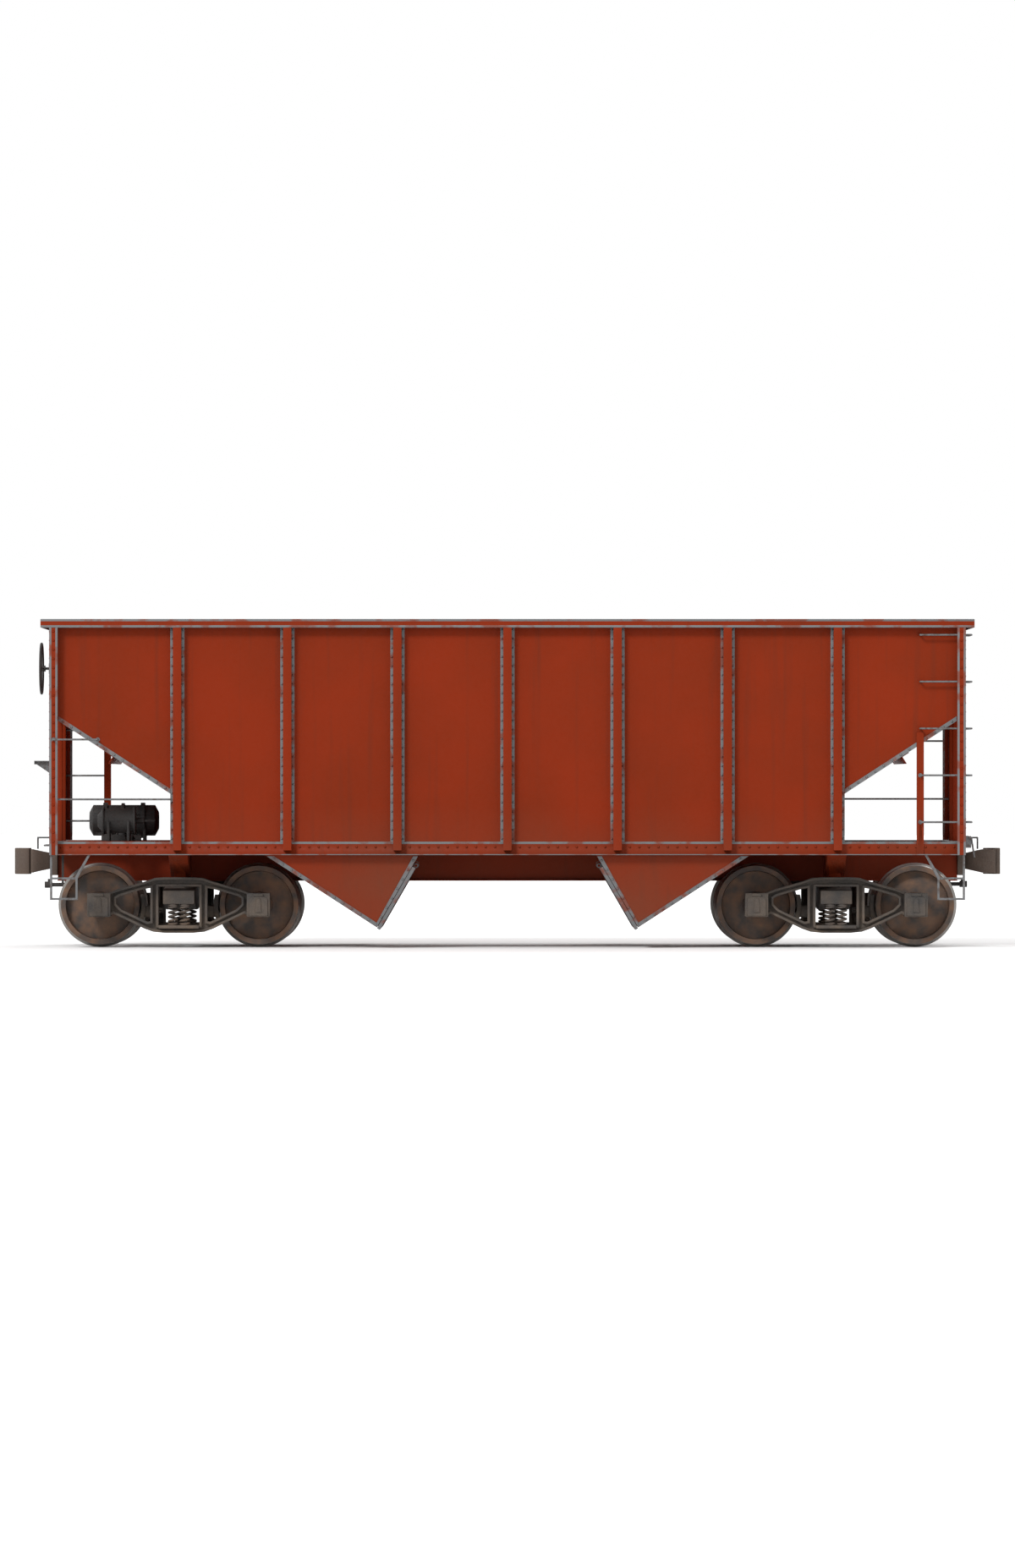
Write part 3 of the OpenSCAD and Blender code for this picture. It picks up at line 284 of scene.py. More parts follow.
# Outlines of (across, up) from the axle's centre, on the side frame's face
lid_half, arch_foot, arch_rise, arch_steps = 0.098, 0.062, 0.034, 10
lid = [(-lid_half, -0.112), (lid_half, -0.112),
       *((lid_half * math.cos(a), arch_foot + arch_rise * math.sin(a))
         for a in (math.pi * k / arch_steps for k in range(arch_steps + 1)))]
lid_spring = [(-0.034, -0.075), (0.034, -0.075), (0.022, 0.075), (-0.022, 0.075)]
lid_hinge = [(-0.05, 0.096), (0.05, 0.096), (0.05, 0.12), (-0.05, 0.12)]
lid_sill = [(-0.11, -0.122), (0.11, -0.122), (0.11, -0.114), (-0.11, -0.114)]
lid_thick, lid_spring_thick, hinge_thick, lid_sill_thick, lid_edge_r = 0.014, 0.009, 0.024, 0.018, 0.003
for end in ("a", "b"):
    face_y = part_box(f"side_frames_{end}")[1].y
    lids = bmesh.new()
    for side in (-1, 1):
        for axle in axle_centres(end):
            for outline, foot, thick in ((lid, 0, lid_thick), (lid_spring, lid_thick, lid_spring_thick),
                                         (lid_hinge, 0, hinge_thick), (lid_sill, 0, lid_sill_thick)):
                corners = [(axle.x + u, side * (face_y + foot), axle.z + v) for u, v in outline]
                drawn_out(lids, corners, (0, side * thick, 0))
    eased(lids, lid_edge_r)
    piece_from(lids, f"journal_box_lids_{end}", casting, f"truck_{end}", 35)

# ---------------------------------------------------------------- springs
# Each bolster end stands on four helical springs of round bar, with their end coils closed up and
# ground flat on the spring seat.


def skinned(mesh, rings, capped=True):
    """Faces from each ring of vertices to the next, and over the two ends if it is capped."""
    for one, two in zip(rings, rings[1:]):
        for k in range(len(one)):
            j = (k + 1) % len(one)
            mesh.faces.new((one[k], one[j], two[j], two[k]))
    if capped:
        mesh.faces.new(rings[0][::-1])
        mesh.faces.new(rings[-1])


def helix(mesh, foot, top, radius, bar, turns, flat_turns=0.8, steps=20, sides=8):
    """A helical round bar on a vertical line, from its foot up to top, its end turns lying flat."""
    rings = []
    low, high = foot.z + bar, top - bar
    flat, total = flat_turns * steps, turns * steps
    for i in range(total + 1):
        angle = 2 * math.pi * i / steps
        share = min(max((i - flat) / (total - 2 * flat), 0), 1)
        centre = Vector((math.cos(angle) * radius, math.sin(angle) * radius, 0)) + foot
        centre.z = low + (high - low) * share
        out = Vector((math.cos(angle), math.sin(angle), 0))
        rings.append([mesh.verts.new(centre + bar * (out * math.cos(a) + Vector((0, 0, 1)) * math.sin(a)))
                      for a in (2 * math.pi * k / sides for k in range(sides))])
    skinned(mesh, rings)


spring_paint = casting_finish("spring_steel", (0.05, 0.045, 0.042), (0.16, 0.1, 0.06))
coil_radius, bar_radius, coil_turns = 0.0435, 0.0115, 6
seat_margin, coil_spacing = 0.055, 0.124
for end in ("a", "b"):
    low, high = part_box(f"springs_{end}")
    springs = bmesh.new()
    for side in (-1, 1):
        outer_y = side * (high.y - seat_margin)
        for x in (low.x + seat_margin, high.x - seat_margin):
            for y in (outer_y, outer_y - side * coil_spacing):
                helix(springs, Vector((x, y, low.z)), high.z, coil_radius, bar_radius, coil_turns)
    bmesh.ops.recalc_face_normals(springs, faces=springs.faces)
    piece_from(springs, f"helical_springs_{end}", spring_paint, f"truck_{end}", 60, [f"springs_{end}"])

# ---------------------------------------------------------------- floor and hopper plates
# Copper-bearing steel plates, riveted together. Outside they carry freight-car red, a dull iron-oxide
# paint; inside, coal has scoured the paint off and left dark steel and rust.


def oxide_paint():
    """Uneven dull red, with thin rain streaks, and road dust low down."""
    made, nodes, links, shader, place = finish_of("oxide_paint", (0.19, 0.016, 0.001), 0.62)
    shader.inputs["Specular IOR Level"].default_value = 0.12
    broad = clouds(nodes, links, place, 1.1, 6)
    fine = clouds(nodes, links, place, 30, 6)
    streaks = clouds(nodes, links, place, 13, 5, stretch=(1, 1, 0.04))
    dents = clouds(nodes, links, place, 1.7, 2)
    height = nodes.new("ShaderNodeSeparateXYZ")
    links.new(place, height.inputs["Vector"])
    colour = mixed(nodes, links, spread(nodes, links, broad, 0.35, 0.7),
                   (0.18, 0.0145, 0.0), (0.148, 0.0135, 0.0))
    colour = mixed(nodes, links, spread(nodes, links, streaks, 0.55, 0.8, 0, 0.42), colour,
                   (0.078, 0.015, 0.005))
    low_down = spread(nodes, links, height.outputs["Z"], 1.5, 0.3, 0, 0.5)
    dust = both(nodes, links, low_down, spread(nodes, links, broad, 0.3, 0.7, 0.2, 1))
    links.new(mixed(nodes, links, dust, colour, (0.13, 0.058, 0.034)), shader.inputs["Base Color"])
    links.new(spread(nodes, links, fine, 0.3, 0.7, 0.5, 0.7), shader.inputs["Roughness"])
    relief = both(nodes, links, both(nodes, links, dents, 14), fine, "ADD")
    bumps(nodes, links, shader, relief, 0.0006)
    return made


def scoured_steel():
    """Bare plate that coal slides over: dark, with rust in patches and long rubbed streaks."""
    made, nodes, links, shader, place = finish_of("scoured_steel", (0.1, 0.075, 0.06), 0.55, 0.45)
    patches = clouds(nodes, links, place, 1.5, 8)
    pits = clouds(nodes, links, place, 45, 5)
    rubbed = clouds(nodes, links, place, 22, 5, stretch=(1, 1, 0.06))
    colour = mixed(nodes, links, spread(nodes, links, patches, 0.4, 0.64),
                   (0.095, 0.078, 0.068), (0.15, 0.065, 0.034))
    colour = mixed(nodes, links, spread(nodes, links, rubbed, 0.5, 0.72, 0, 0.5), colour, (0.17, 0.15, 0.135))
    links.new(colour, shader.inputs["Base Color"])
    links.new(spread(nodes, links, patches, 0.4, 0.62, 0.42, 0.85), shader.inputs["Roughness"])
    bumps(nodes, links, shader, pits, 0.0012)
    return made


def worn_edge():
    """Where boots, chains and shovels rub the paint: grey steel, with some of the red left."""
    made, nodes, links, shader, place = finish_of("worn_edge", (0.12, 0.122, 0.125), 0.5, 0.25)
    left = clouds(nodes, links, place, 6, 8)
    colour = mixed(nodes, links, spread(nodes, links, left, 0.5, 0.62, 0, 0.85), (0.128, 0.13, 0.133),
                   (0.15, 0.03, 0.012))
    links.new(colour, shader.inputs["Base Color"])
    links.new(spread(nodes, links, left, 0.3, 0.7, 0.4, 0.7), shader.inputs["Roughness"])
    bumps(nodes, links, shader, left, 0.0004)
    return made


oxide = oxide_paint()
scoured = scoured_steel()
worn = worn_edge()


def two_sided(name, inside, cuts=(), smooth_below=1):
    """Stands for a CAD plate: red, with the bare finish on the faces that the coal touches."""
    plate = merged(name, cuts)
    for face in plate.faces:
        face.material_index = 1 if inside(face.normal, face.calc_center_median()) else 0
    piece_from(plate, f"{name}_plate", [oxide, scoured], "body", smooth_below, [name])


ridge_low, ridge_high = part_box("centre_ridge")
ridge_angle = math.radians(39)
ridge_sides = [((sign * ridge_high.x, 0, ridge_low.z),
                (sign * math.sin(ridge_angle), 0, math.cos(ridge_angle))) for sign in (-1, 1)]


def ridge_z(x):
    """The underside of the ridge between the hoppers; below it no coal touches the side sheets."""
    return ridge_low.z + (ridge_high.x - abs(x)) * math.tan(ridge_angle)


# How much of a face's direction makes it count as looking up, looking a way, or square on to it
upwards, facing, square_on = 0.2, 0.5, 0.9
edge_room = 0.001
for name in ("slope_sheets", "sill_hoods"):
    two_sided(name, lambda n, at: n.z > upwards)
two_sided("centre_ridge", lambda n, at: n.z > upwards or abs(at.x) > ridge_high.x - edge_room)
two_sided("side_sheets_near", lambda n, at: n.y > facing and at.z > ridge_z(at.x), ridge_sides)
two_sided("side_sheets_far", lambda n, at: n.y < -facing and at.z > ridge_z(at.x), ridge_sides)
two_sided("end_sheets", lambda n, at: n.x * at.x < 0 and abs(n.x) > facing)
two_sided("cross_ties", lambda n, at: True)

wall_y, skin_y = (corner.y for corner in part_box("side_sheets_far"))
chute_middle_y = (wall_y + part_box("sill_hoods")[1].y) / 2


def in_chute(n, at):
    """The inner face of the header over a door, or a face that looks into a chute from its side."""
    return n.x * at.x > facing or abs(n.y) > square_on and n.y * at.y * (chute_middle_y - abs(at.y)) > 0


for end in ("a", "b"):
    two_sided(f"hopper_sheets_{end}", in_chute, smooth_below=20)

# ---------------------------------------------------------------- stakes, chords, posts and sills
# Rolled and pressed sections outside the sheets: pressed hat-section stakes with riveted flanges, a
# bulb-angle top chord, corner angles and channel sills. Their edges are rubbed to grey steel.


def edged(name, radius, rubbed, cuts=(), segments=2, shortest=0.03):
    """Stands for a CAD section, its corners rounded. rubbed is the test that picks the rubbed bands."""
    mesh = merged(name, cuts)
    edges = [e for e in mesh.edges if e.is_manifold and e.is_convex and e.calc_length() > shortest
             and e.calc_face_angle() > math.radians(60)]
    bmesh.ops.bevel(mesh, geom=edges, offset=radius, segments=segments, profile=0.5, affect="EDGES",
                    clamp_overlap=True)
    for face in mesh.faces:
        face.material_index = 1 if rubbed(face.normal, face.calc_center_median()) else 0
    piece_from(mesh, f"{name}_finished", [oxide, worn], "body", stands_for=[name])


flange_y, hair = skin_y + 0.006, 0.0005
press_radius, mill_radius, rub = 0.012, 0.004, 0.024
for name in ("side_stakes_near", "side_stakes_far"):
    edged(name, press_radius, lambda n, at: abs(at.y) < flange_y + hair, segments=3, shortest=0.5)

chord_low, chord_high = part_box("top_chords")
chord_bands = [((0, 0, chord_low.z + rub), (0, 0, 1)), ((0, 0, chord_high.z - rub), (0, 0, 1))]
for name in ("top_chords", "end_chords"):
    edged(name, mill_radius, lambda n, at: at.z < chord_low.z + rub or at.z > chord_high.z - rub, chord_bands)

post_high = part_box("corner_posts")[1]
post_leg = 0.09
post_face_x = post_high.x - post_leg
post_bands = [((sign * x, 0, 0), (1, 0, 0))
              for sign in (-1, 1) for x in (post_high.x - rub, post_face_x + rub)]
edged("corner_posts", mill_radius,
      lambda n, at: abs(n.y) > facing and not post_face_x + rub < abs(at.x) < post_high.x - rub, post_bands)

sill_low, sill_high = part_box("side_sills")
for name in ("side_sills", "end_sills"):
    edged(name, mill_radius, lambda n, at: at.z > sill_high.z - rub or at.z < sill_low.z + rub / 2,
          [((0, 0, sill_high.z - rub), (0, 0, 1))])
for name in ("centre_sill", "end_posts", "slope_beams", "body_bolsters", "brake_stringers"):
    edged(name, mill_radius, lambda n, at: False)

# ---------------------------------------------------------------- edge bars of the slopes and hoppers
# Flat bars riveted over the sheets' cut edges, along the slope sheets' line at each end of the sides
# and round each hopper's outer sheet. They are the first thing that a shovel hits.

slope_angle, door_angle, chute_lean = math.radians(33), math.radians(60), math.radians(8)
sheet_t, bar_width, bar_thick = 0.006, 0.042, 0.006
slope_low, slope_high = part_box("slope_sheets")
lip_z = slope_low.z
lip_x = slope_high.x - (slope_high.z - sheet_t / math.cos(slope_angle) - lip_z) / math.tan(slope_angle)


def slope_z(x):
    """The underside of the slope sheet, which meets the door's plane at the hopper's lip."""
    return lip_z + (x - lip_x) * math.tan(slope_angle)


def hopper_face(x, z):
    """A point on a hopper's outer sheet, which leans in below the sill."""
    down = (sill_low.z - z - sheet_t * math.sin(chute_lean)) / math.cos(chute_lean)
    return Vector((x, wall_y + sheet_t * math.cos(chute_lean) - down * math.sin(chute_lean), z))


# The bar along the slope line, between the first stake and the corner post
end_room = 0.002
bar_x0, bar_x1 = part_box("side_stakes_far")[1].x + end_room, post_face_x - end_room
upright = bar_width / math.cos(slope_angle)
# The bars round a hopper's outer sheet, as outlines of (x, z): down the slope, and down the door's side
top_z, inner_lip_z, tip = sill_low.z - 0.012, lip_z + bar_width * 1.1, 0.004
slope_x = lip_x + (top_z - lip_z) / math.tan(slope_angle)
door_x = lip_x - (top_z - lip_z) / math.tan(door_angle)
hopper_bars = [
    [(slope_x, top_z), (slope_x - bar_width / math.sin(slope_angle), top_z),
     (lip_x - tip, inner_lip_z), (lip_x, lip_z + tip)],
    [(door_x, top_z), (door_x + bar_width / math.sin(door_angle), top_z),
     (lip_x + tip, inner_lip_z), (lip_x, lip_z + tip)],
]
edge_bars = bmesh.new()
bar_rows, row_inset = [], 0.05
for end_sign in (-1, 1):
    for side in (-1, 1):
        corners = [(end_sign * x, side * skin_y, slope_z(x) + rise)
                   for x, rise in ((bar_x0, 0), (bar_x1, 0), (bar_x1, upright), (bar_x0, upright))]
        drawn_out(edge_bars, corners, (0, side * bar_thick, 0))
        ends = [(end_sign * x, side * (skin_y + bar_thick), slope_z(x) + upright / 2)
                for x in (bar_x0 + row_inset, bar_x1 - row_inset)]
        bar_rows.append((*ends, (0, side, 0)))

        flip = Vector((end_sign, side, 1))
        out = Vector((0, math.cos(chute_lean), -math.sin(chute_lean))) * bar_thick
        for outline in hopper_bars:
            points = [hopper_face(x, z) for x, z in outline]
            drawn_out(edge_bars, [p * flip for p in points], out * flip)
            start, end = (points[0] + points[1]) / 2, (points[2] + points[3]) / 2
            inset = (end - start).normalized() * row_inset
            bar_rows.append(((start + inset + out) * flip, (end - inset * 2 + out) * flip, out * flip))
bmesh.ops.recalc_face_normals(edge_bars, faces=edge_bars.faces)
piece_from(edge_bars, "edge_bars", worn, "body", 30)

# ---------------------------------------------------------------- hopper doors
# Pressed steel plates with turned edges and riveted ribs. Each hangs by its lugs from pins along its
# top edge. Coal scours the inner face, and the sides are rubbed where they pass the hopper's sheets.

into_hopper = Vector((math.sin(door_angle), 0, math.cos(door_angle)))
for side in ("a_near", "a_far", "b_near", "b_far"):
    name = f"door_{side}"
    door = merged(name)
    for face in door.faces:
        towards_end = math.copysign(face.normal.x, face.normal.x * face.calc_center_median().x)
        if abs(face.normal.y) > square_on:
            face.material_index = 1
        elif Vector((towards_end, 0, face.normal.z)).dot(into_hopper) > square_on:
            face.material_index = 2
    piece_from(door, f"{name}_plate", [oxide, worn, scoured], name, 25, [name])

# ---------------------------------------------------------------- ladders, grab irons and steps
# Round bar and strap, bolted on. Hands and boots have worn the bars to grey steel, and the ladders'
# flat stiles keep their red.


def handled_steel():
    """Grey steel polished by hands, with grime in patches."""
    made, nodes, links, shader, place = finish_of("handled_steel", (0.12, 0.122, 0.125), 0.45, 0.4)
    grime = clouds(nodes, links, place, 26, 6)
    colour = mixed(nodes, links, spread(nodes, links, grime, 0.46, 0.68),
                   (0.125, 0.127, 0.13), (0.07, 0.055, 0.048))
    links.new(colour, shader.inputs["Base Color"])
    bumps(nodes, links, shader, grime, 0.0004)
    return made


handled = handled_steel()
for name in ("grab_irons", "sill_steps", "uncoupling_levers", "brake_step"):
    only_finish(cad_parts[name], handled)
# The stiles lie within these distances of the wagon's middle, and the rungs' feet beyond them
stile_y, stile_x = skin_y + 0.021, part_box("end_sills")[1].x + 0.0105
for name, on_stile in (("side_ladders", lambda at: abs(at.y) < stile_y),
                       ("end_ladders", lambda at: abs(at.x) < stile_x)):
    ladder = merged(name)
    for face in ladder.faces:
        face.material_index = 1 if on_stile(face.calc_center_median()) else 0
    piece_from(ladder, f"{name}_finished", [handled, oxide], "body", 40, [name])

# ---------------------------------------------------------------- couplers
# Cast steel knuckle couplers, never painted, brown with rust. The shank runs through a cast striker and
# back inside the centre sill to its draft gear, and the head narrows back to the shank.

bare_casting = casting_finish("coupler_casting", (0.062, 0.044, 0.034), (0.13, 0.075, 0.045))
coupler_z = (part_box("knuckles")[0].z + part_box("knuckles")[1].z) / 2
head_back_x, head_full_x, head_back_share = 4.87, 5.03, 0.66
head_room, shank_half_h = 0.03, 0.1


def narrowed_head(mesh):
    """Draws the top and bottom of the head in towards the shank."""
    for vertex in mesh.verts:
        x, z = abs(vertex.co.x), vertex.co.z - coupler_z
        if abs(z) > shank_half_h and x > head_back_x - head_room:
            share = min(max((x - head_back_x) / (head_full_x - head_back_x), 0), 1)
            vertex.co.z = coupler_z + z * (head_back_share + (1 - head_back_share) * share)


head_edge_r, knuckle_edge_r, striker_edge_r = 0.012, 0.02, 0.008
rounded("couplers", bare_casting, "body", head_edge_r, 3, shape=narrowed_head)
rounded("knuckles", bare_casting, "body", knuckle_edge_r, 3)
rounded("strikers", bare_casting, "body", striker_edge_r, 3)

# ---------------------------------------------------------------- brake gear
# Cylinder, reservoir and valve on the platform at one end, black, joined by pipes, and the train pipe
# along the sill. The hand brake's wheel and housing are on the end sheet above them.

brake_black = casting_finish("brake_black", (0.022, 0.021, 0.021), (0.08, 0.055, 0.037))
for name in ("train_line", "brake_wheel", "hand_brake", "control_valve"):
    only_finish(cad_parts[name], brake_black)
for name in ("brake_cylinder", "air_reservoir"):
    rounded(name, brake_black, "body", 0.006, sharpest=50)


def tube(mesh, route, radius, sides=12):
    """A round bar or pipe along a route of points, mitred at its corners, with flat closed ends."""
    route = [Vector(p) for p in route]
    rings = []
    for i, point in enumerate(route):
        before = (point - route[i - 1]).normalized() if i else (route[1] - point).normalized()
        after = (route[i + 1] - point).normalized() if i + 1 < len(route) else before
        along = (before + after).normalized()
        side = (last - along * last.dot(along) if rings else along.orthogonal()).normalized()
        last = side
        wide = radius / max(math.cos(before.angle(after) / 2), 0.5)
        up = along.cross(side)
        rings.append([mesh.verts.new(point + (side * math.cos(a) + up * math.sin(a)) * wide)
                      for a in (2 * math.pi * k / sides for k in range(sides))])
    skinned(mesh, rings)


tank_low, tank_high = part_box("air_reservoir")
cylinder_low, cylinder_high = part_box("brake_cylinder")
valve_low, valve_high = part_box("control_valve")
tank_r = (tank_high.y - tank_low.y) / 2
tank_middle = Vector(((tank_low.x + tank_high.x) / 2, (tank_low.y + tank_high.y) / 2, tank_high.z - tank_r))
cylinder_y = (cylinder_low.y + cylinder_high.y) / 2
valve_x, valve_z = (valve_low.x + valve_high.x) / 2, (valve_low.z + valve_high.z) / 2
pipes = bmesh.new()
# A pipe from each side of the valve: straight out, up to the vessel, and in
pipe_r, pipe_offset, straight_y, pipe_rise, buried = 0.013, 0.06, 0.2, 0.06, 0.02
for offset, to_y, to_z in ((-pipe_offset, tank_middle.y - tank_r * 0.9, tank_middle.z - 0.07),
                           (pipe_offset, cylinder_y + 0.1, tank_middle.z - 0.05)):
    x, side = valve_x + offset, math.copysign(1, to_y)
    tube(pipes, [(x, side * (valve_high.y - buried), valve_z), (x, side * straight_y, valve_z),
                 (x, to_y, valve_z + pipe_rise), (x, to_y + side * buried, to_z)], pipe_r)
# Two flat bands hold the reservoir down
band_offset, band_width, band_sides = 0.2, 0.045, 40
band_inner, band_outer = tank_r * 0.99, tank_r * 1.004 + 0.004
for x in (-band_offset, band_offset):
    rings = [[pipes.verts.new(tank_middle + Vector((x + dx, r * math.cos(a), r * math.sin(a))))
              for a in (2 * math.pi * k / band_sides for k in range(band_sides))]
             for dx, r in ((-band_width / 2, band_inner), (-band_width / 2, band_outer),
                           (band_width / 2, band_outer), (band_width / 2, band_inner))]
    skinned(pipes, [*rings, rings[0]], capped=False)
bmesh.ops.recalc_face_normals(pipes, faces=pipes.faces)
piece_from(pipes, "brake_pipes_and_tank_bands", brake_black, "body", 40)

# ---------------------------------------------------------------- rivets
# Button-head rivets hold the stakes, sills, plates and angles together. Each row is a line on the
# surface with its outward direction; Geometry Nodes set a head at every pitch along it.


def rivet_tree():
    """Rows of rivet heads: a head at every pitch along each edge, standing along the edge's 'out'."""
    tree = bpy.data.node_groups.new("rivet_rows", "GeometryNodeTree")
    face = tree.interface
    face.new_socket("Rows", in_out="INPUT", socket_type="NodeSocketGeometry")
    for label in ("Head radius", "Head height", "Pitch"):
        face.new_socket(label, in_out="INPUT", socket_type="NodeSocketFloat")
    face.new_socket("Finish", in_out="INPUT", socket_type="NodeSocketMaterial")
    face.new_socket("Heads", in_out="OUTPUT", socket_type="NodeSocketGeometry")
    nodes, links = tree.nodes, tree.links
    given, result = nodes.new("NodeGroupInput"), nodes.new("NodeGroupOutput")
    curve = nodes.new("GeometryNodeMeshToCurve")
    points = nodes.new("GeometryNodeCurveToPoints")
    points.mode = "LENGTH"
    out = nodes.new("GeometryNodeInputNamedAttribute")
    out.data_type = "FLOAT_VECTOR"
    out.inputs["Name"].default_value = "out"
    align = nodes.new("FunctionNodeAlignRotationToVector")
    align.axis = "Z"
    head = nodes.new("GeometryNodeMeshCone")
    head.inputs["Vertices"].default_value = 9
    narrow = nodes.new("ShaderNodeMath")
    narrow.operation = "MULTIPLY"
    narrow.inputs[1].default_value = 0.55
    place = nodes.new("GeometryNodeInstanceOnPoints")
    real = nodes.new("GeometryNodeRealizeInstances")
    smooth = nodes.new("GeometryNodeSetShadeSmooth")
    paint = nodes.new("GeometryNodeSetMaterial")
    links.new(given.outputs["Rows"], curve.inputs["Mesh"])
    links.new(curve.outputs["Curve"], points.inputs["Curve"])
    links.new(given.outputs["Pitch"], points.inputs["Length"])
    links.new(points.outputs["Points"], place.inputs["Points"])
    links.new(out.outputs["Attribute"], align.inputs["Vector"])
    links.new(align.outputs["Rotation"], place.inputs["Rotation"])
    links.new(given.outputs["Head radius"], head.inputs["Radius Bottom"])
    links.new(given.outputs["Head radius"], narrow.inputs[0])
    links.new(narrow.outputs["Value"], head.inputs["Radius Top"])
    links.new(given.outputs["Head height"], head.inputs["Depth"])
    links.new(head.outputs["Mesh"], place.inputs["Instance"])
    links.new(place.outputs["Instances"], real.inputs["Geometry"])
    links.new(real.outputs["Geometry"], smooth.inputs["Geometry"])
    links.new(smooth.outputs["Geometry"], paint.inputs["Geometry"])
    links.new(given.outputs["Finish"], paint.inputs["Material"])
    links.new(paint.outputs["Geometry"], result.inputs["Heads"])
    return tree


rivets = rivet_tree()


def rivet_rows(name, rows, body, finish, radius=0.0135, height=0.008, pitch=0.092):
    """Rivets along rows, each a start, an end and an outward direction."""
    data = bpy.data.meshes.new(name)
    corners = [tuple(p) for start, end, out in rows for p in (start, end)]
    data.from_pydata(corners, [(2 * i, 2 * i + 1) for i in range(len(rows))], [])
    outwards = data.attributes.new("out", "FLOAT_VECTOR", "POINT")
    outwards.data.foreach_set("vector", [c for start, end, out in rows for c in (*out, *out)])
    piece = bpy.data.objects.new(name, data)
    bpy.context.scene.collection.objects.link(piece)
    modifier = piece.modifiers.new("rivets", "NODES")
    modifier.node_group = rivets
    given = {s.name: s.identifier for s in rivets.interface.items_tree if s.in_out == "INPUT"}
    for label, value in (("Head radius", radius), ("Head height", height), ("Pitch", pitch),
                         ("Finish", finish)):
        modifier[given[label]] = value
    plain = bpy.data.meshes.new_from_object(piece.evaluated_get(bpy.context.evaluated_depsgraph_get()))
    piece.modifiers.clear()
    piece.data = plain
    piece.data.name = name
    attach(piece, body)


# The stakes stand at an even pitch, the outer two's middles half a stake in from their common box
stake_half, stake_number = 0.074, 7
stake_low, stake_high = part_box("side_stakes_far")
stake_step = (stake_high.x - stake_low.x - 2 * stake_half) / (stake_number - 1)
stake_xs = [stake_low.x + stake_half + stake_step * i for i in range(stake_number)]

# Where the rows lie: from a stake's middle, below the sill's top, in from a post's end and its side
flange_line, sill_line, post_line, leg_line = 0.059, 0.055, 0.045, 0.123
sill_web_y, leg_row_y = skin_y + 0.010, post_high.y - leg_line
# How far short of what it meets a row stops
gap, flange_gap, post_gap, end_gap, seam_gap = 0.03, 0.02, 0.04, 0.05, 0.06
stake_gap, seam_stake_gap = 0.1, 0.11
on_flanges, outside, inside = [], [], []
for side in (-1, 1):
    out = Vector((0, side, 0))
    for x in stake_xs:
        for at_x in (x - flange_line, x + flange_line):
            on_flanges.append(((at_x, side * flange_y, sill_high.z + gap),
                               (at_x, side * flange_y, chord_low.z - flange_gap), out))
            foot = max(sill_high.z + gap, slope_z(abs(at_x)) + seam_gap, ridge_z(at_x) + seam_gap)
            inside.append(((at_x, side * wall_y, foot), (at_x, side * wall_y, chord_high.z - gap), -out))
    z = sill_high.z - sill_line
    starts = [-post_face_x, *(x + stake_gap for x in stake_xs)]
    ends = [*(x - stake_gap for x in stake_xs), post_face_x]
    for start, end in zip(starts, ends):
        outside.append(((start + gap, side * sill_web_y, z), (end - gap, side * sill_web_y, z), out))
    for end_sign in (-1, 1):
        x, top_z = end_sign * (post_high.x - post_line), chord_low.z - post_gap
        outside.append(((x, side * post_high.y, sill_high.z), (x, side * post_high.y, top_z), out))
        outside.append(((end_sign * post_high.x, side * leg_row_y, sill_high.z + end_gap),
                        (end_sign * post_high.x, side * leg_row_y, top_z), (end_sign, 0, 0)))
        # The slope sheet's seam, which shows on the side sheets between the stakes
        for start_x, end_x in zip(stake_xs[3:], stake_xs[4:]):
            seam_x = [x for x in (start_x + seam_stake_gap, end_x - seam_stake_gap)
                      if slope_z(x) > sill_high.z + end_gap]
            if len(seam_x) == 2:
                outside.append(((end_sign * seam_x[0], side * skin_y, slope_z(seam_x[0]) + gap),
                                (end_sign * seam_x[1], side * skin_y, slope_z(seam_x[1]) + gap), out))
end_skin_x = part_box("end_sheets")[1].x
clear_of_posts = ((-1.36, -1.1), (-0.98, 0.98), (1.1, 1.36))
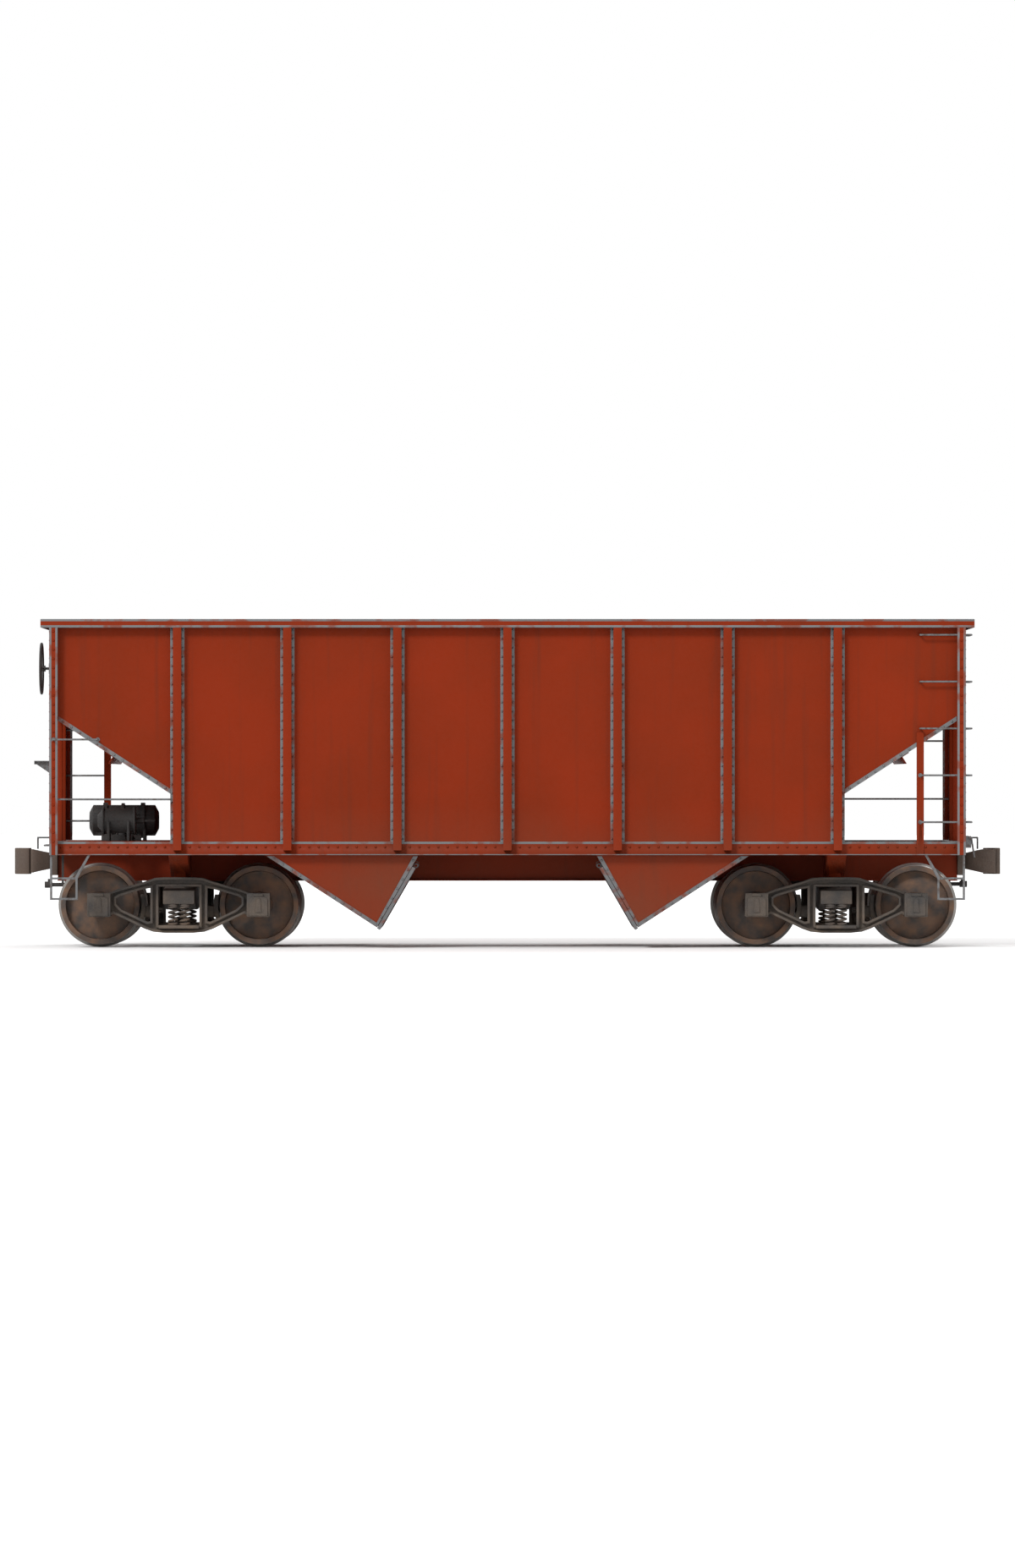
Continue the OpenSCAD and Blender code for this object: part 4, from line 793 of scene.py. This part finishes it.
for end_sign in (-1, 1):
    at_x = end_sign * end_skin_x
    for z in (slope_z(end_skin_x) + end_gap, chord_low.z - end_gap):
        for y0, y1 in clear_of_posts:
            outside.append(((at_x, y0, z), (at_x, y1, z), (end_sign, 0, 0)))
rivet_rows("stake_rivets", on_flanges, "body", worn, radius=0.012)
rivet_rows("post_and_sill_rivets", outside, "body", oxide)
rivet_rows("load_space_rivets", inside, "body", scoured)
rivet_rows("edge_bar_rivets", bar_rows, "body", worn, pitch=0.1)

# ---------------------------------------------------------------- the studio
# A pale floor, a white surround and large soft lights. The camera looks straight at the near side
# from far away through a long lens, level with the middle of the body.

ground_size = 400
bpy.ops.mesh.primitive_plane_add(size=ground_size)
ground = bpy.context.object
ground.name = "ground"
ground_finish = finish_of("ground", (0.82, 0.82, 0.82), 0.9)[0]
only_finish(ground, ground_finish)
ground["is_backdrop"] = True

world = bpy.data.worlds.new("surround")
world.use_nodes = True
world.node_tree.nodes["Background"].inputs["Color"].default_value = (1, 1, 1, 1)
world.node_tree.nodes["Background"].inputs["Strength"].default_value = 1.0
bpy.context.scene.world = world
bpy.context.scene.view_settings.view_transform = "Standard"


def sunlight(name, coming_from, softness, power):
    """A wide soft light from one direction."""
    lamp = bpy.data.lights.new(name, "SUN")
    lamp.angle, lamp.energy = math.radians(softness), power
    light = bpy.data.objects.new(name, lamp)
    bpy.context.scene.collection.objects.link(light)
    light.rotation_mode = "QUATERNION"
    light.rotation_quaternion = Vector(coming_from).to_track_quat("Z", "Y")


sunlight("key", (-0.55, -0.8, 0.75), 14, 2.3)
sunlight("rim", (0.6, 0.9, 0.9), 25, 1.0)

image_w, image_h = 1200, 1854
spare, eye_z = 1.03, 1.72
lens, film = 200, 36
camera = bpy.data.cameras.new("camera")
camera.lens, camera.sensor_width = lens, film
camera.clip_end = 600
eye = bpy.data.objects.new("camera", camera)
bpy.context.scene.collection.objects.link(eye)
half_view = film / 2 / lens * image_w / image_h
distance = (cad_high.x - cad_low.x) / 2 * spare / half_view
eye.location = (0, -distance, eye_z)
eye.rotation_euler = (math.radians(90), 0, 0)
bpy.context.scene.camera = eye

low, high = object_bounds()
